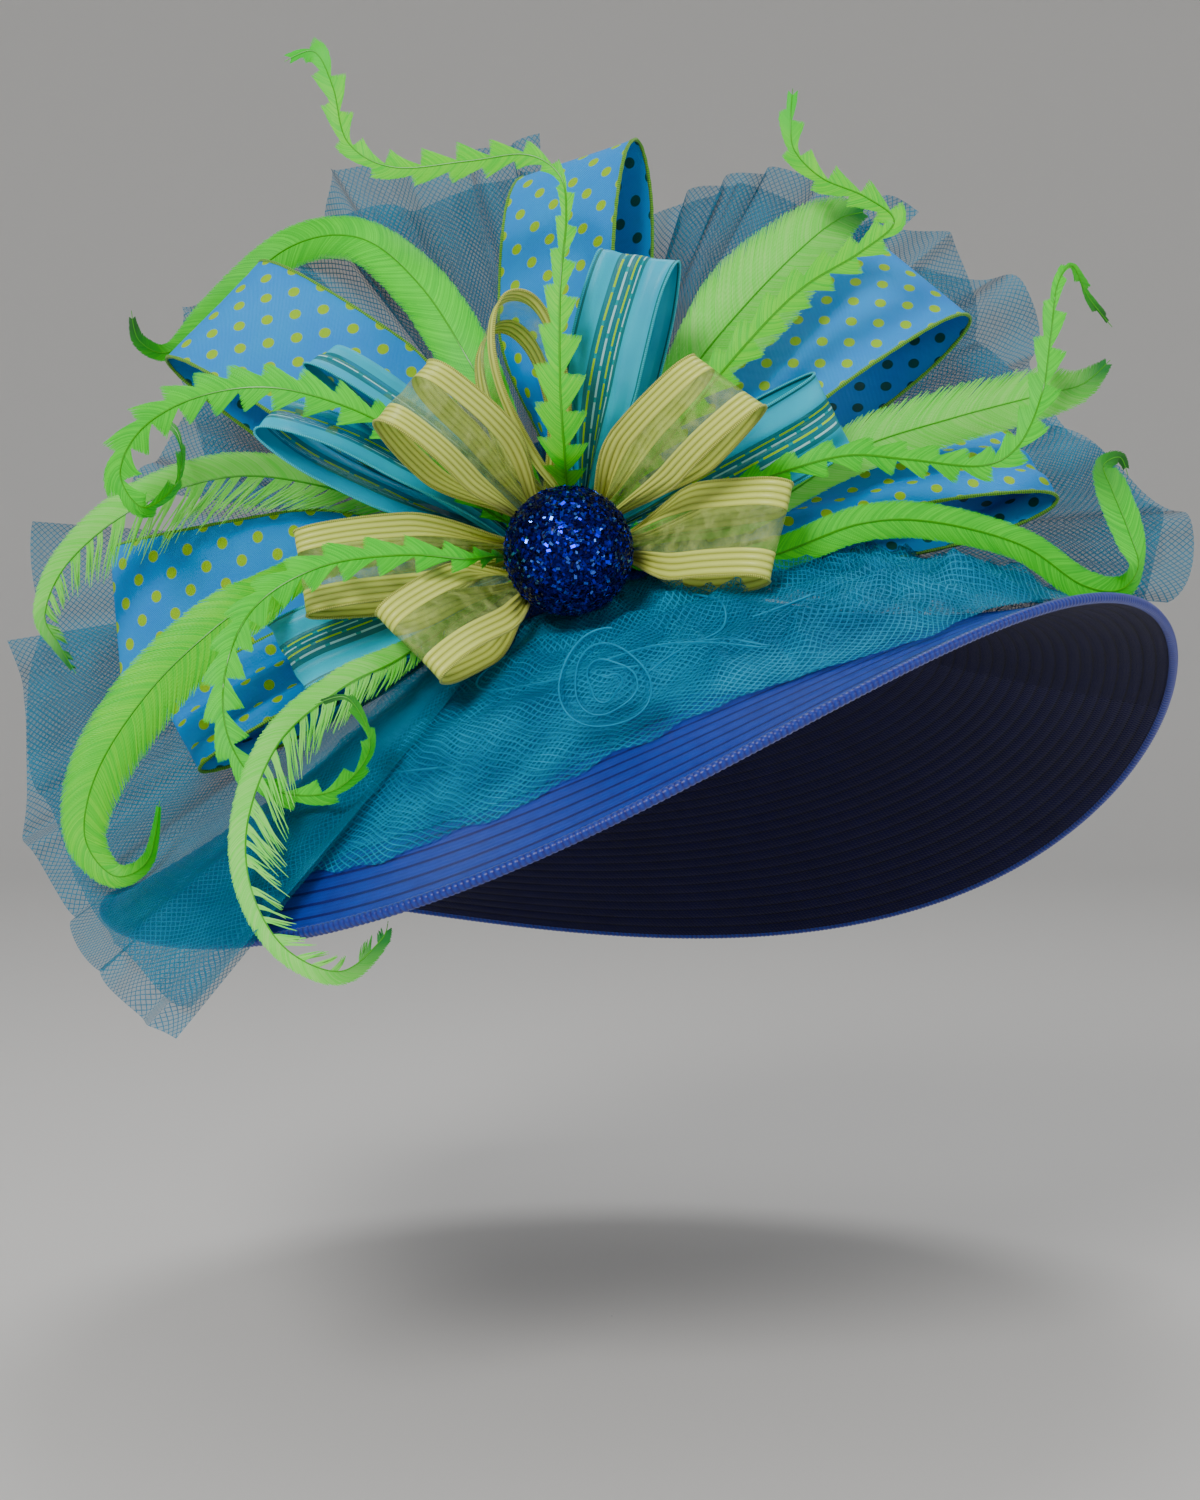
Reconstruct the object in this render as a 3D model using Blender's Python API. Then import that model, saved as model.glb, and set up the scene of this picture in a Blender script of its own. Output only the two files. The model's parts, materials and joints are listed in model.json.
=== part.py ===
"""Wide-brimmed derby hat with a ribbon bow, feathers and net.

The hat is a sewn straw crown and brim. On its front sits a bow of spotted, striped and sheer
ribbon loops round a glitter ball, with plain and notched feathers, over fans and a band of net.

Units are metres, +Z is up and the wearer faces -Y. The origin is the middle of the head opening.
The hat is worn at a tilt, so the straw is drawn in the hat's own upright frame and then tilted.
The bow is laid out as it is seen from the front: ACROSS to the right, UP, and FORWARD to the
viewer, in millimetres from the middle of the ball. Left and right in the names of the pieces are
the viewer's, from the front.
"""

import math

import bmesh
import bpy
from mathutils import Matrix, Vector

# Straw, in millimetres, in the hat's own frame before it is tilted
MM = 0.001
TILT_RIGHT = math.radians(11.0)
TILT_BACK = math.radians(13.3)
HEAD_HALF_WIDTH = 84.0
HEAD_HALF_DEPTH = 98.0
CROWN_HEIGHT = 104.0
CROWN_EDGE_RADIUS = 34.0
CROWN_TAPER = 0.90
CROWN_TOP_SCALE = 0.25
CROWN_TOP_RISE = 2.0
STRAW_THICKNESS = 2.0
BRIM_RADIUS = 280.0
BRIM_DROP = 103.0
BRIM_FALL_POWER = 1.05
BRIM_WAVE = 43.0
BRIM_WAVE_AZIMUTH = math.radians(-30.5)
BRIM_SKEW = 3.0
BRIM_SKEW_AZIMUTH = math.radians(9.0)
BINDING_DIAMETER = 5.0
GAP = 0.3

# The crown's wall up to its rounded edge: scale of the opening, and share of the crown's height
CROWN_WALL = ((0.985, 0.12), (0.955, 0.40))
CROWN_EDGE_TURNS = (0, 22, 45, 68, 90)

# Bow, in millimetres as seen from the front
VIEW_DISTANCE = 1118.0
VIEW_FROM = Vector((-6.4, -1230.0, 0.0))
BOW_MIDDLE = Vector((-21.7, -112.0, 48.1))
BALL_RADIUS = 30.7
BALL_FORWARD = 44.0
POST_BACK = -21.4
POST_SHOULDER_BACK = -16.4
POST_SHOULDER_FRONT = 4.0
POST_FRONT = BALL_FORWARD - BALL_RADIUS - 0.4
POST_RADIUS = 19.5
POST_FRONT_RADIUS = 18.55
NECK_RADIUS = 12.0
ROOT_RADIUS = 20.3
ROOT_WIDTH = 9.0
ROOT_HALF_GAP = 1.1
LOOP_OPEN_BY = 0.55
LOOP_BULGE_PEAK = 0.77
RIBBON_THICKNESS = 1.0
FEATHER_THICKNESS = 1.0
NET_THICKNESS = 1.0

# How many faces each kind of piece gets
CROWN_SIDES = 32
BRIM_SIDES = 64
BRIM_RINGS = 5
BINDING_SIDES = 5
LOOP_STEPS = 16
PLAIN_STEPS = 16
NOTCH_COUNT = 13
NOTCH_CUT = 0.85
NOTCH_ROOT = 0.35
FAN_STEPS = 5
BAND_STEPS = 4
WHORL_STEPS = 26
POST_SIDES = 32

# Ribbon loops. The fold at the far end of a loop runs from corner a to corner b, each given as
# across, up and forward. "opening" is the loop's widest gap, "clock" the side of the post that
# its root is sewn to, in degrees clockwise from the top, and "root" how far forward that is.
LOOP_COLUMNS = ("name", "ribbon", "a", "b", "opening", "clock", "root")
LOOPS = (
    ("loop_spotted_top", "spotted", (-21, 179, -44), (33, 197, -16), 40, 0, -12),
    ("loop_spotted_upper_left", "spotted", (-149, 138, -54), (-194, 92, -30), 38, -52, -12),
    ("loop_spotted_left", "spotted", (-222, 1, -40), (-217, -66, -30), 26, -86, -12),
    ("loop_spotted_lower_left", "spotted", (-196, -76, 2), (-180, -106, 24), 24, -112, -12),
    ("loop_spotted_upper_right", "spotted", (152, 146, -64), (194, 112, -26), 34, 46, -12),
    ("loop_spotted_right", "spotted", (215, 54, -50), (237, 26, -2), 26, 100, -12),
    ("loop_striped_top", "striped", (16, 145, 40), (52, 139, 58), 20, 18, -3),
    ("loop_striped_right", "striped", (119, 85, 38), (137, 50, 22), 16, 66, -3),
    ("loop_striped_upper_left", "striped", (-139, 72, 24), (-152, 58, 60), 18, -80, -3),
    ("loop_striped_back_left", "striped", (-111, 99, 20), (-129, 89, 44), 13, -40, -3),
    ("loop_striped_lower_left", "striped", (-146, -36, 32), (-128, -68, 46), 12, -110, -6),
    ("loop_sheer_upper_left", "sheer", (-66, 92, 66), (-92, 63, 84), 28, -48, 7),
    ("loop_sheer_top", "sheer", (-35, 105, 24), (-28, 125, 56), 32, -14, 7),
    ("loop_sheer_upper_right", "sheer", (59, 94, 68), (94, 70, 84), 28, 44, 7),
    ("loop_sheer_left", "sheer", (-133, 9, 44), (-127, -31, 58), 18, -90, 7),
    ("loop_sheer_lower_left", "sheer", (-93, -29, 70), (-62, -62, 88), 20, -134, 7),
    ("loop_sheer_right", "sheer", (108, 33, 60), (97, -14, 72), 20, 88, 7),
)

# Feathers. Each row is one place along the quill: across, up, forward, half width and turn, the
# degrees that the vane is turned about the quill away from facing the viewer.
FEATHER_COLUMNS = ("across", "up", "forward", "half_width", "turn")
PLAIN_FEATHERS = {
    "feather_arch_left": (
        (-9.5, 18.1, 2, 2, 0),
        (-21, 42, 7, 4, 0),
        (-46, 88, 8, 13, 0),
        (-71, 127, -14, 14, 10),
        (-100, 150, -44, 13, 30),
        (-134, 146, -76, 11, 20),
        (-170, 116, -86, 9, 0),
        (-192, 96, -82, 5, 0),
        (-207, 101, -74, 4, 0),
        (-211, 116, -70, 1, 0),
    ),
    "feather_broad_right": (
        (12.4, 16.2, 2, 2, 0),
        (36, 48, 6, 5, 0),
        (62, 90, 12, 15, 0),
        (88, 121, 6, 23, 0),
        (113, 146, 0, 19, 0),
        (130, 159, -4, 13, 0),
        (144, 163, -6, 3, 0),
    ),
    "feather_pale_right": (
        (20.4, 2, -7.5, 2, 0),
        (50, 7, 0, 3, 0),
        (84, 13, 6, 5, 0),
        (112, 31, 2.5, 8, 0),
        (142, 50, 4, 12, 0),
        (186, 64, 6, 13, 0),
        (228, 75, 8, 12, 0),
        (248, 80, 8, 8, 0),
        (262, 92, 8, 2, 0),
    ),
    "feather_long_right": (
        (20, -5, 2, 2, 0),
        (60, -8, 14, 5, 0),
        (100, -2, 28, 8, 0),
        (141, 13, 28, 9, 0),
        (176, 14, 24, 9, 0),
        (219, 3, 20, 8, 0),
        (248, -16, 18, 8, 0),
        (267, -19, 18, 7, 20),
        (276, -8, 20, 7, 60),
        (272, 8, 20, 8, 20),
        (263, 30, 18, 8, 0),
        (259, 41, 16, 5, 0),
        (267, 45, 14, 3, 0),
        (271, 36, 12, 1, 0),
    ),
    "feather_pale_left": (
        (-20, 4, -7.5, 2, 0),
        (-60, 10, -9, 4, 0),
        (-107, 28, -6, 10, 0),
        (-160, 36, 0, 12, 0),
        (-207, 22, 4, 12, 0),
        (-241, -4, 4, 9, 0),
        (-254, -30, 4, 6, 0),
        (-247, -46, 4, 4, 0),
        (-239, -60, 2, 1, 0),
    ),
    "feather_bright_left": (
        (-20, -2, 2.5, 2, 0),
        (-40, -2, 7, 3, 0),
        (-70, 0, 8, 4, 0),
        (-112, -4, 20, 8, 0),
        (-136, -14, 36, 9, 0),
        (-151, -24, 54, 12, 0),
        (-170, -36, 60, 14, 0),
        (-202, -66, 62, 15, 0),
        (-228, -104, 64, 14, 0),
        (-236, -138, 66, 10, 0),
        (-222, -158, 66, 6, 0),
        (-205, -150, 66, 4, 30),
        (-199, -120, 64, 1, 30),
    ),
    "feather_drooping_left": (
        (-18, -10, 2, 2, 0),
        (-43, -27, 18, 3, 0),
        (-60, -38, 34, 4, 0),
        (-85, -54, 62, 8, 0),
        (-109, -66, 80, 9, 0),
        (-140, -92, 104, 9, 0),
        (-156, -130, 130, 8, 0),
        (-155, -164, 150, 7, 0),
        (-139, -193, 166, 6, 0),
        (-112, -205, 172, 6, 0),
        (-92, -190, 168, 4, 0),
        (-88, -180, 166, 1, 0),
    ),
}
NOTCHED_FEATHERS = {
    "feather_notched_top": (
        (-1, 19.2, 10.5, 3, 0),
        (-1, 34, 26, 7, 0),
        (-2, 48, 42, 9, 0),
        (-4, 80, 56, 10, 0),
        (-4, 125, 56, 6, 0),
        (-1, 160, 50, 4, 0),
        (-4, 180, 46, 3, 0),
        (-20, 190, 40, 5, 0),
        (-48, 187, 38, 7, 0),
        (-84, 184, 34, 6, 0),
        (-106, 196, 32, 5, 0),
        (-113, 222, 30, 6, 0),
        (-122, 239, 28, 5, 0),
        (-137, 234, 28, 2, 0),
    ),
    "feather_notched_upper_right": (
        (16.3, 12.4, 2, 2, 0),
        (38, 40, 13, 4, 0),
        (75, 87, 26, 8, 0),
        (110, 124, 24, 8, 0),
        (140, 143, 20, 7, 0),
        (157, 158, 18, 6, 0),
        (143, 170, 18, 6, 0),
        (122, 179, 18, 6, 0),
        (109, 192, 18, 5, 0),
        (107, 206, 18, 5, 0),
        (108, 222, 18, 2, 0),
    ),
    "feather_notched_right": (
        (20.2, 3.8, 2, 2, 0),
        (48, 15, 12, 5, 0),
        (74, 26, 23, 6, 0),
        (104, 38, 37, 7, 0),
        (135, 46, 42, 7, 0),
        (165, 44, 40, 7, 0),
        (200, 41, 34, 7, 0),
        (218, 51, 30, 7, 0),
        (229, 76, 28, 7, 0),
        (233, 104, 26, 6, 0),
        (236, 128, 22, 3, 0),
        (243, 137, 18, 2, 0),
        (251, 122, 14, 2.5, 0),
        (263, 107, 12, 1, 0),
    ),
    "feather_notched_ring_left": (
        (-19, 8, 2, 2, 0),
        (-34, 16, 10, 3, 0),
        (-48, 25, 22, 4, 0),
        (-64, 38, 32, 5, 0),
        (-93, 63, 45, 7, 0),
        (-138, 78, 50, 9, 0),
        (-176, 75, 46, 9, 0),
        (-205, 60, 40, 8, 0),
        (-217, 38, 36, 8, 0),
        (-206, 21, 32, 6, 30),
        (-189, 34, 22, 5, 60),
        (-190, 58, 16, 4, 60),
        (-211, 67, 12, 2, 40),
    ),
    "feather_notched_ring_lower_left": (
        (-18.4, -5.5, 10.5, 2, 0),
        (-29, -4, 18, 2, 0),
        (-37, -3, 36, 3, 0),
        (-50, -4, 54, 5, 0),
        (-81, -2, 66, 7, 0),
        (-121, -8, 74, 8, 0),
        (-153, -28, 78, 8, 0),
        (-167, -60, 90, 8, 0),
        (-165, -92, 97, 7, 0),
        (-147, -115, 102, 6, 0),
        (-116, -117, 110, 5, 20),
        (-97, -96, 114, 4, 40),
        (-107, -72, 112, 3, 40),
        (-124, -75, 110, 1, 40),
    ),
}

# Fans of net behind the bow. Each row is one radial line: its clock angle, its reach from the
# ball and how far forward its outer end lies.
FAN_COLUMNS = ("clock", "reach", "forward")
FANS = {
    "net_fan_top": (
        (-37, 186, -76),
        (-32, 214, -86),
        (-21, 198, -82),
        (-11, 196, -84),
        (-5, 200, -86),
    ),
    "net_fan_left": (
        (-82, 214, -84),
        (-70, 196, -88),
        (-58, 220, -110),
        (-50, 196, -112),
        (-42, 207, -112),
    ),
    "net_fan_upper_right": (
        (18, 165, -84),
        (23, 192, -88),
        (29, 210, -92),
        (38, 216, -100),
        (45, 236, -106),
    ),
    "net_fan_right": (
        (52, 216, -106),
        (60, 254, -110),
        (70, 240, -104),
        (80, 262, -96),
        (88, 302, -80),
        (96, 292, -58),
    ),
    "net_drape_left": (
        (-99, 276, -84),
        (-108, 276, -76),
        (-117, 298, -56),
        (-124, 300, -30),
        (-128.5, 305, 22),
        (-132, 308, 104),
        (-136, 310, 152),
        (-141.5, 306, 184),
    ),
}
FAN_ROOT_FORWARD = -17.5
FAN_PLEAT = 3.0
# Where each fan starts from the ball's middle, and the power by which it falls back to its end
FAN_SHAPES = {
    "net_fan_top": (12.6, 0.75),
    "net_fan_left": (12.6, 0.75),
    "net_fan_upper_right": (12.6, 0.75),
    "net_fan_right": (12.6, 0.88),
    "net_drape_left": (20.3, 0.75),
}

# Band of net on the front of the brim, in the hat's frame: azimuth in degrees from the wearer's
# left, the front being -90, how far from the hat's axis it starts and ends, and how high it stands
# over the straw. Its inner edge is sewn down at BAND_SEAT.
BAND_COLUMNS = ("azimuth", "inner", "outer", "lift")
NET_BAND = (
    (-114, 150, 256, 6),
    (-106, 140, 256, 6),
    (-95, 130, 248, 6),
    (-85, 130, 244, 7),
    (-75, 136, 254, 9),
    (-65, 150, 266, 9),
    (-54, 165, 262, 9),
    (-44, 180, 262, 9),
)
BAND_SEAT = 1.5
BAND_PLEAT = 2.5
BAND_PLEAT_TURN = 2.1
WHORL_AZIMUTH = -94.0
WHORL_DISTANCE = 243.0
WHORL_LIFT = 28.7
WHORL_RADIUS = 20.0
WHORL_CORE = 5.0
WHORL_TURNS = 1.6
WHORL_WIDTH = 15.0
WHORL_CORE_WIDTH = 9.0

# Colour, roughness and metallic value of each finish
FINISHES = {
    "straw": ((0.035, 0.075, 0.36), 0.42, 0.0),
    "binding": ((0.040, 0.070, 0.33), 0.45, 0.0),
    "post_felt": ((0.010, 0.020, 0.12), 0.90, 0.0),
    "glitter": ((0.005, 0.012, 0.20), 0.25, 0.8),
    "spotted": ((0.006, 0.300, 0.680), 0.35, 0.0),
    "striped": ((0.012, 0.370, 0.560), 0.35, 0.0),
    "sheer": ((0.480, 0.560, 0.210), 0.45, 0.0),
    "feather": ((0.160, 0.720, 0.070), 0.50, 0.0),
    "net": ((0.010, 0.220, 0.400), 0.60, 0.0),
}


def finish(name):
    """Return the named material, made the first time that it is asked for."""
    found = bpy.data.materials.get(name)
    if found:
        return found
    colour, roughness, metallic = FINISHES[name]
    made = bpy.data.materials.new(name)
    made.use_nodes = True
    shader = made.node_tree.nodes["Principled BSDF"]
    shader.inputs["Base Color"].default_value = (*colour, 1.0)
    shader.inputs["Roughness"].default_value = roughness
    shader.inputs["Metallic"].default_value = metallic
    made.diffuse_color = (*colour, 1.0)
    return made


def add_solid(name, points, faces, finish_name):
    """Make one closed object from points in millimetres and faces, with its sides facing out."""
    mesh = bpy.data.meshes.new(name)
    mesh.from_pydata([Vector(point) * MM for point in points], [], faces)
    shape = bmesh.new()
    shape.from_mesh(mesh)
    bmesh.ops.recalc_face_normals(shape, faces=shape.faces)
    if shape.calc_volume(signed=True) < 0:
        bmesh.ops.reverse_faces(shape, faces=shape.faces)
    four_sided = [face for face in shape.faces if len(face.verts) == 4]
    bmesh.ops.triangulate(shape, faces=four_sided, quad_method="SHORT_EDGE")
    shape.to_mesh(mesh)
    shape.free()
    mesh.shade_smooth()
    mesh.set_sharp_from_angle(angle=math.radians(50))
    mesh.materials.append(finish(finish_name))
    made = bpy.data.objects.new(name, mesh)
    bpy.context.collection.objects.link(made)
    return made


def smooth_step(value, end):
    """Rise smoothly from 0 to 1 as value goes from 0 to end."""
    part = min(max(value / end, 0.0), 1.0)
    return part * part * (3.0 - 2.0 * part)


def read_table(columns, rows, place):
    """Read a table at a place from 0 to 1 along it, on a smooth curve through its rows."""
    last = len(rows) - 1
    scaled = min(max(place, 0.0), 1.0) * last
    index = min(int(scaled), last - 1)
    part = scaled - index
    before = rows[max(index - 1, 0)]
    start = rows[index]
    end = rows[index + 1]
    after = rows[min(index + 2, last)]
    values = {}
    for column, a, b, c, d in zip(columns, before, start, end, after):
        bend = 2 * b + (c - a) * part + (2 * a - 5 * b + 4 * c - d) * part ** 2
        values[column] = 0.5 * (bend + (3 * b - a - 3 * c + d) * part ** 3)
    return values


def hat_tilt():
    """Return the turn that tips the upright hat to the wearer's right and then back."""
    tip_right = Matrix.Rotation(TILT_RIGHT, 3, "Y").transposed()
    tip_back = Matrix.Rotation(-TILT_BACK, 3, "X")
    return tip_back @ tip_right


HAT_TILT = hat_tilt()


def opening_radius(azimuth):
    """Return the head opening's outer radius at an azimuth: it is longer from front to back."""
    across = math.cos(azimuth) / (HEAD_HALF_WIDTH + STRAW_THICKNESS)
    along = math.sin(azimuth) / (HEAD_HALF_DEPTH + STRAW_THICKNESS)
    return 1.0 / math.hypot(across, along)


def brim_height(azimuth, radius):
    """Return the height of the brim's upper face: a falling cone with a wave round its rim."""
    inner = opening_radius(azimuth)
    part = max(radius - inner, 0.0) / (BRIM_RADIUS - inner)
    wave = BRIM_WAVE * math.cos(2.0 * (azimuth - BRIM_WAVE_AZIMUTH))
    skew = BRIM_SKEW * math.cos(3.0 * (azimuth - BRIM_SKEW_AZIMUTH))
    return (wave - skew) * part ** 2 - BRIM_DROP * part ** BRIM_FALL_POWER


def on_brim(azimuth, radius, lift):
    """Return the worn place of a point over the brim's upper face."""
    height = brim_height(azimuth, radius) + lift
    return HAT_TILT @ Vector((radius * math.cos(azimuth), radius * math.sin(azimuth), height))


def seen(across, up, forward):
    """Return the place that is seen at across and up, moved forward along the line of sight."""
    flat = BOW_MIDDLE + Vector((across, 0.0, up))
    return VIEW_FROM + (flat - VIEW_FROM) * (VIEW_DISTANCE - forward) / VIEW_DISTANCE


def crown_profile(outward):
    """List the crown's wall from the opening to near its top, as scale and height pairs."""
    shrink = CROWN_EDGE_RADIUS / HEAD_HALF_WIDTH
    inset = 0.0 if outward else STRAW_THICKNESS
    rows = [(1.0, -STRAW_THICKNESS)]
    rows += [(scale, share * CROWN_HEIGHT) for scale, share in CROWN_WALL]
    for turn in CROWN_EDGE_TURNS:
        angle = math.radians(turn)
        scale = CROWN_TAPER - shrink * (1.0 - math.cos(angle))
        rows.append((scale, CROWN_HEIGHT - inset - (CROWN_EDGE_RADIUS * (1.0 - math.sin(angle)))))
    rows.append((CROWN_TOP_SCALE, CROWN_HEIGHT - inset + CROWN_TOP_RISE))
    return rows


def build_crown():
    """Build the hollow crown, an oval dome with a rounded top edge, open below."""
    rings = [(scale, height, STRAW_THICKNESS) for scale, height in crown_profile(True)]
    inner = [(scale, height, 0.0) for scale, height in crown_profile(False)]
    points = []
    for scale, height, wall in rings + inner[::-1]:
        for side in range(CROWN_SIDES):
            azimuth = 2.0 * math.pi * side / CROWN_SIDES
            across = (HEAD_HALF_WIDTH * scale + wall) * math.cos(azimuth)
            along = (HEAD_HALF_DEPTH * scale + wall) * math.sin(azimuth)
            points.append(HAT_TILT @ Vector((across, along, height)))
    ring_count = 2 * len(rings)
    top = len(rings) - 1
    faces = []
    for ring in range(ring_count):
        if ring == top:
            continue
        following = (ring + 1) % ring_count
        faces += ring_faces(ring * CROWN_SIDES, following * CROWN_SIDES, CROWN_SIDES)
    faces.append(tuple(range(top * CROWN_SIDES, (top + 1) * CROWN_SIDES)))
    faces.append(tuple(range((top + 1) * CROWN_SIDES, (top + 2) * CROWN_SIDES)))
    return add_solid("crown", points, faces, "straw")


def ring_faces(first, second, sides):
    """Join two rings of points, given by their first numbers, with a belt of four-sided faces."""
    belt = []
    for side in range(sides):
        after = (side + 1) % sides
        belt.append((first + side, first + after, second + after, second + side))
    return belt


def build_brim():
    """Build the brim as one drooping, waved sheet of straw with a wall all round."""
    points = []
    for lift in (0.0, -STRAW_THICKNESS):
        steps = range(BRIM_RINGS + 1) if lift == 0.0 else range(BRIM_RINGS, -1, -1)
        for step in steps:
            part = step / BRIM_RINGS
            for side in range(BRIM_SIDES):
                azimuth = 2.0 * math.pi * side / BRIM_SIDES
                inner = opening_radius(azimuth) + GAP
                radius = inner + (BRIM_RADIUS - inner) * part
                points.append(on_brim(azimuth, radius, lift))
    ring_count = 2 * (BRIM_RINGS + 1)
    faces = []
    for ring in range(ring_count):
        following = (ring + 1) % ring_count
        faces += ring_faces(ring * BRIM_SIDES, following * BRIM_SIDES, BRIM_SIDES)
    return add_solid("brim", points, faces, "straw")


def build_binding():
    """Build the corded binding that is sewn round the rim."""
    points = []
    middle_radius = BRIM_RADIUS + GAP + 0.5 * BINDING_DIAMETER
    for side in range(BRIM_SIDES):
        azimuth = 2.0 * math.pi * side / BRIM_SIDES
        rim = on_brim(azimuth, BRIM_RADIUS, -0.5 * STRAW_THICKNESS)
        outward = HAT_TILT @ Vector((math.cos(azimuth), math.sin(azimuth), 0.0))
        upward = HAT_TILT @ Vector((0.0, 0.0, 1.0))
        middle = rim + outward * (middle_radius - BRIM_RADIUS)
        for corner in range(BINDING_SIDES):
            angle = 2.0 * math.pi * corner / BINDING_SIDES
            reach = 0.5 * BINDING_DIAMETER
            points.append(middle + outward * (reach * math.cos(angle)) + upward * (reach * math.sin(angle)))
    faces = []
    for side in range(BRIM_SIDES):
        following = (side + 1) % BRIM_SIDES
        faces += ring_faces(side * BINDING_SIDES, following * BINDING_SIDES, BINDING_SIDES)
    return add_solid("brim_binding", points, faces, "binding")


def strip_solid(name, stations, thickness, finish_name):
    """Build a flat strip from stations of two edge points and the way that its face looks."""
    points = []
    for one_edge, other_edge, facing in stations:
        lift = facing.normalized() * (0.5 * thickness)
        points += [one_edge + lift, other_edge + lift, other_edge - lift, one_edge - lift]
    corners = 4
    faces = []
    for index in range(len(stations) - 1):
        faces += ring_faces(index * corners, (index + 1) * corners, corners)
    faces.append((0, 1, 2, 3))
    end = (len(stations) - 1) * corners
    faces.append((end, end + 1, end + 2, end + 3))
    return add_solid(name, points, faces, finish_name)


def loop_point(loop, turn, side):
    """Return a point of a ribbon loop: turn goes round it from 0 to 1, side from -0.5 to 0.5."""
    row = dict(zip(LOOP_COLUMNS, loop))
    angle = 2.0 * math.pi * turn
    reach = 0.5 * (1.0 - math.cos(angle))
    bulge = math.sin(angle) * math.sin(0.5 * angle) / LOOP_BULGE_PEAK
    clock = math.radians(row["clock"])
    root = seen(ROOT_RADIUS * math.sin(clock), ROOT_RADIUS * math.cos(clock), row["root"])
    beside = Vector((math.cos(clock), 0.0, -math.sin(clock)))
    corner_a = seen(*row["a"])
    corner_b = seen(*row["b"])
    middle = 0.5 * (corner_a + corner_b)
    fold = corner_b - corner_a
    if fold.dot(beside) < 0.0:
        beside = -beside
    opened = smooth_step(reach, LOOP_OPEN_BY)
    width = (beside * ROOT_WIDTH).lerp(fold, opened)
    outward = (middle - root).normalized()
    thick = outward.cross(width).normalized()
    if thick.y > 0.0:
        thick = -thick
    spread = 0.5 * row["opening"] * bulge + ROOT_HALF_GAP * math.cos(0.5 * angle)
    place = root + (middle - root) * reach + width * side + thick * spread
    return place


def build_loop(loop):
    """Build one ribbon loop, gathered at its root and opening to the ribbon's full width."""
    stations = []
    nudge = 0.002
    for step in range(LOOP_STEPS + 1):
        turn = step / LOOP_STEPS
        one_edge = loop_point(loop, turn, -0.5)
        other_edge = loop_point(loop, turn, 0.5)
        before = loop_point(loop, max(turn - nudge, 0.0), 0.0)
        after = loop_point(loop, min(turn + nudge, 1.0), 0.0)
        facing = (other_edge - one_edge).cross(after - before)
        stations.append((one_edge, other_edge, facing))
    return strip_solid(loop[0], stations, RIBBON_THICKNESS, loop[1])


def on_quill(rows, place):
    """Return the place of a feather's quill at a place from 0 to 1 along it."""
    row = read_table(FEATHER_COLUMNS, rows, place)
    return seen(row["across"], row["up"], row["forward"])


def feather_station(rows, place, narrowing):
    """Return the edges and facing of a feather at a place along its quill."""
    nudge = 0.004
    row = read_table(FEATHER_COLUMNS, rows, place)
    middle = on_quill(rows, place)
    along = (on_quill(rows, place + nudge) - on_quill(rows, place - nudge)).normalized()
    to_viewer = (VIEW_FROM - middle).normalized()
    beside = along.cross(to_viewer).normalized()
    beside = Matrix.Rotation(math.radians(row["turn"]), 3, along) @ beside
    reach = max(row["half_width"], 1.0) * narrowing
    return middle - beside * reach, middle + beside * reach, beside.cross(along)


def build_plain_feather(name, rows):
    """Build a feather with whole vanes."""
    steps = max(PLAIN_STEPS, 2 * len(rows) - 2)
    stations = [feather_station(rows, step / steps, 1.0) for step in range(steps + 1)]
    return strip_solid(name, stations, FEATHER_THICKNESS, "feather")


def build_notched_feather(name, rows):
    """Build a feather whose vanes are cut into a row of notches that widen to the tip."""
    stations = []
    for notch in range(NOTCH_COUNT):
        stations.append(feather_station(rows, notch / NOTCH_COUNT, NOTCH_ROOT))
        stations.append(feather_station(rows, (notch + NOTCH_CUT) / NOTCH_COUNT, 1.0))
    stations.append(feather_station(rows, 1.0, NOTCH_ROOT))
    return strip_solid(name, stations, FEATHER_THICKNESS, "feather")


def sheet_solid(name, grid, thickness, finish_name):
    """Build a sheet from a grid of points, given thickness along each point's own normal."""
    rows = len(grid)
    columns = len(grid[0])
    lifted = []
    for row in range(rows):
        for column in range(columns):
            down = grid[max(row - 1, 0)][column] - grid[min(row + 1, rows - 1)][column]
            over = grid[row][max(column - 1, 0)] - grid[row][min(column + 1, columns - 1)]
            lifted.append(down.cross(over).normalized() * (0.5 * thickness))
    flat = [point for line in grid for point in line]
    points = [point + lift for point, lift in zip(flat, lifted)]
    points += [point - lift for point, lift in zip(flat, lifted)]
    back = rows * columns
    faces = []
    for row in range(rows - 1):
        for column in range(columns - 1):
            corner = row * columns + column
            quad = (corner, corner + 1, corner + columns + 1, corner + columns)
            faces.append(quad)
            faces.append(tuple(number + back for number in reversed(quad)))
    border = [column for column in range(columns)]
    border += [row * columns + columns - 1 for row in range(1, rows)]
    border += [(rows - 1) * columns + column for column in range(columns - 2, -1, -1)]
    border += [row * columns for row in range(rows - 2, 0, -1)]
    for index, number in enumerate(border):
        following = border[(index + 1) % len(border)]
        faces.append((following, number, number + back, following + back))
    return add_solid(name, points, faces, finish_name)


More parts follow.
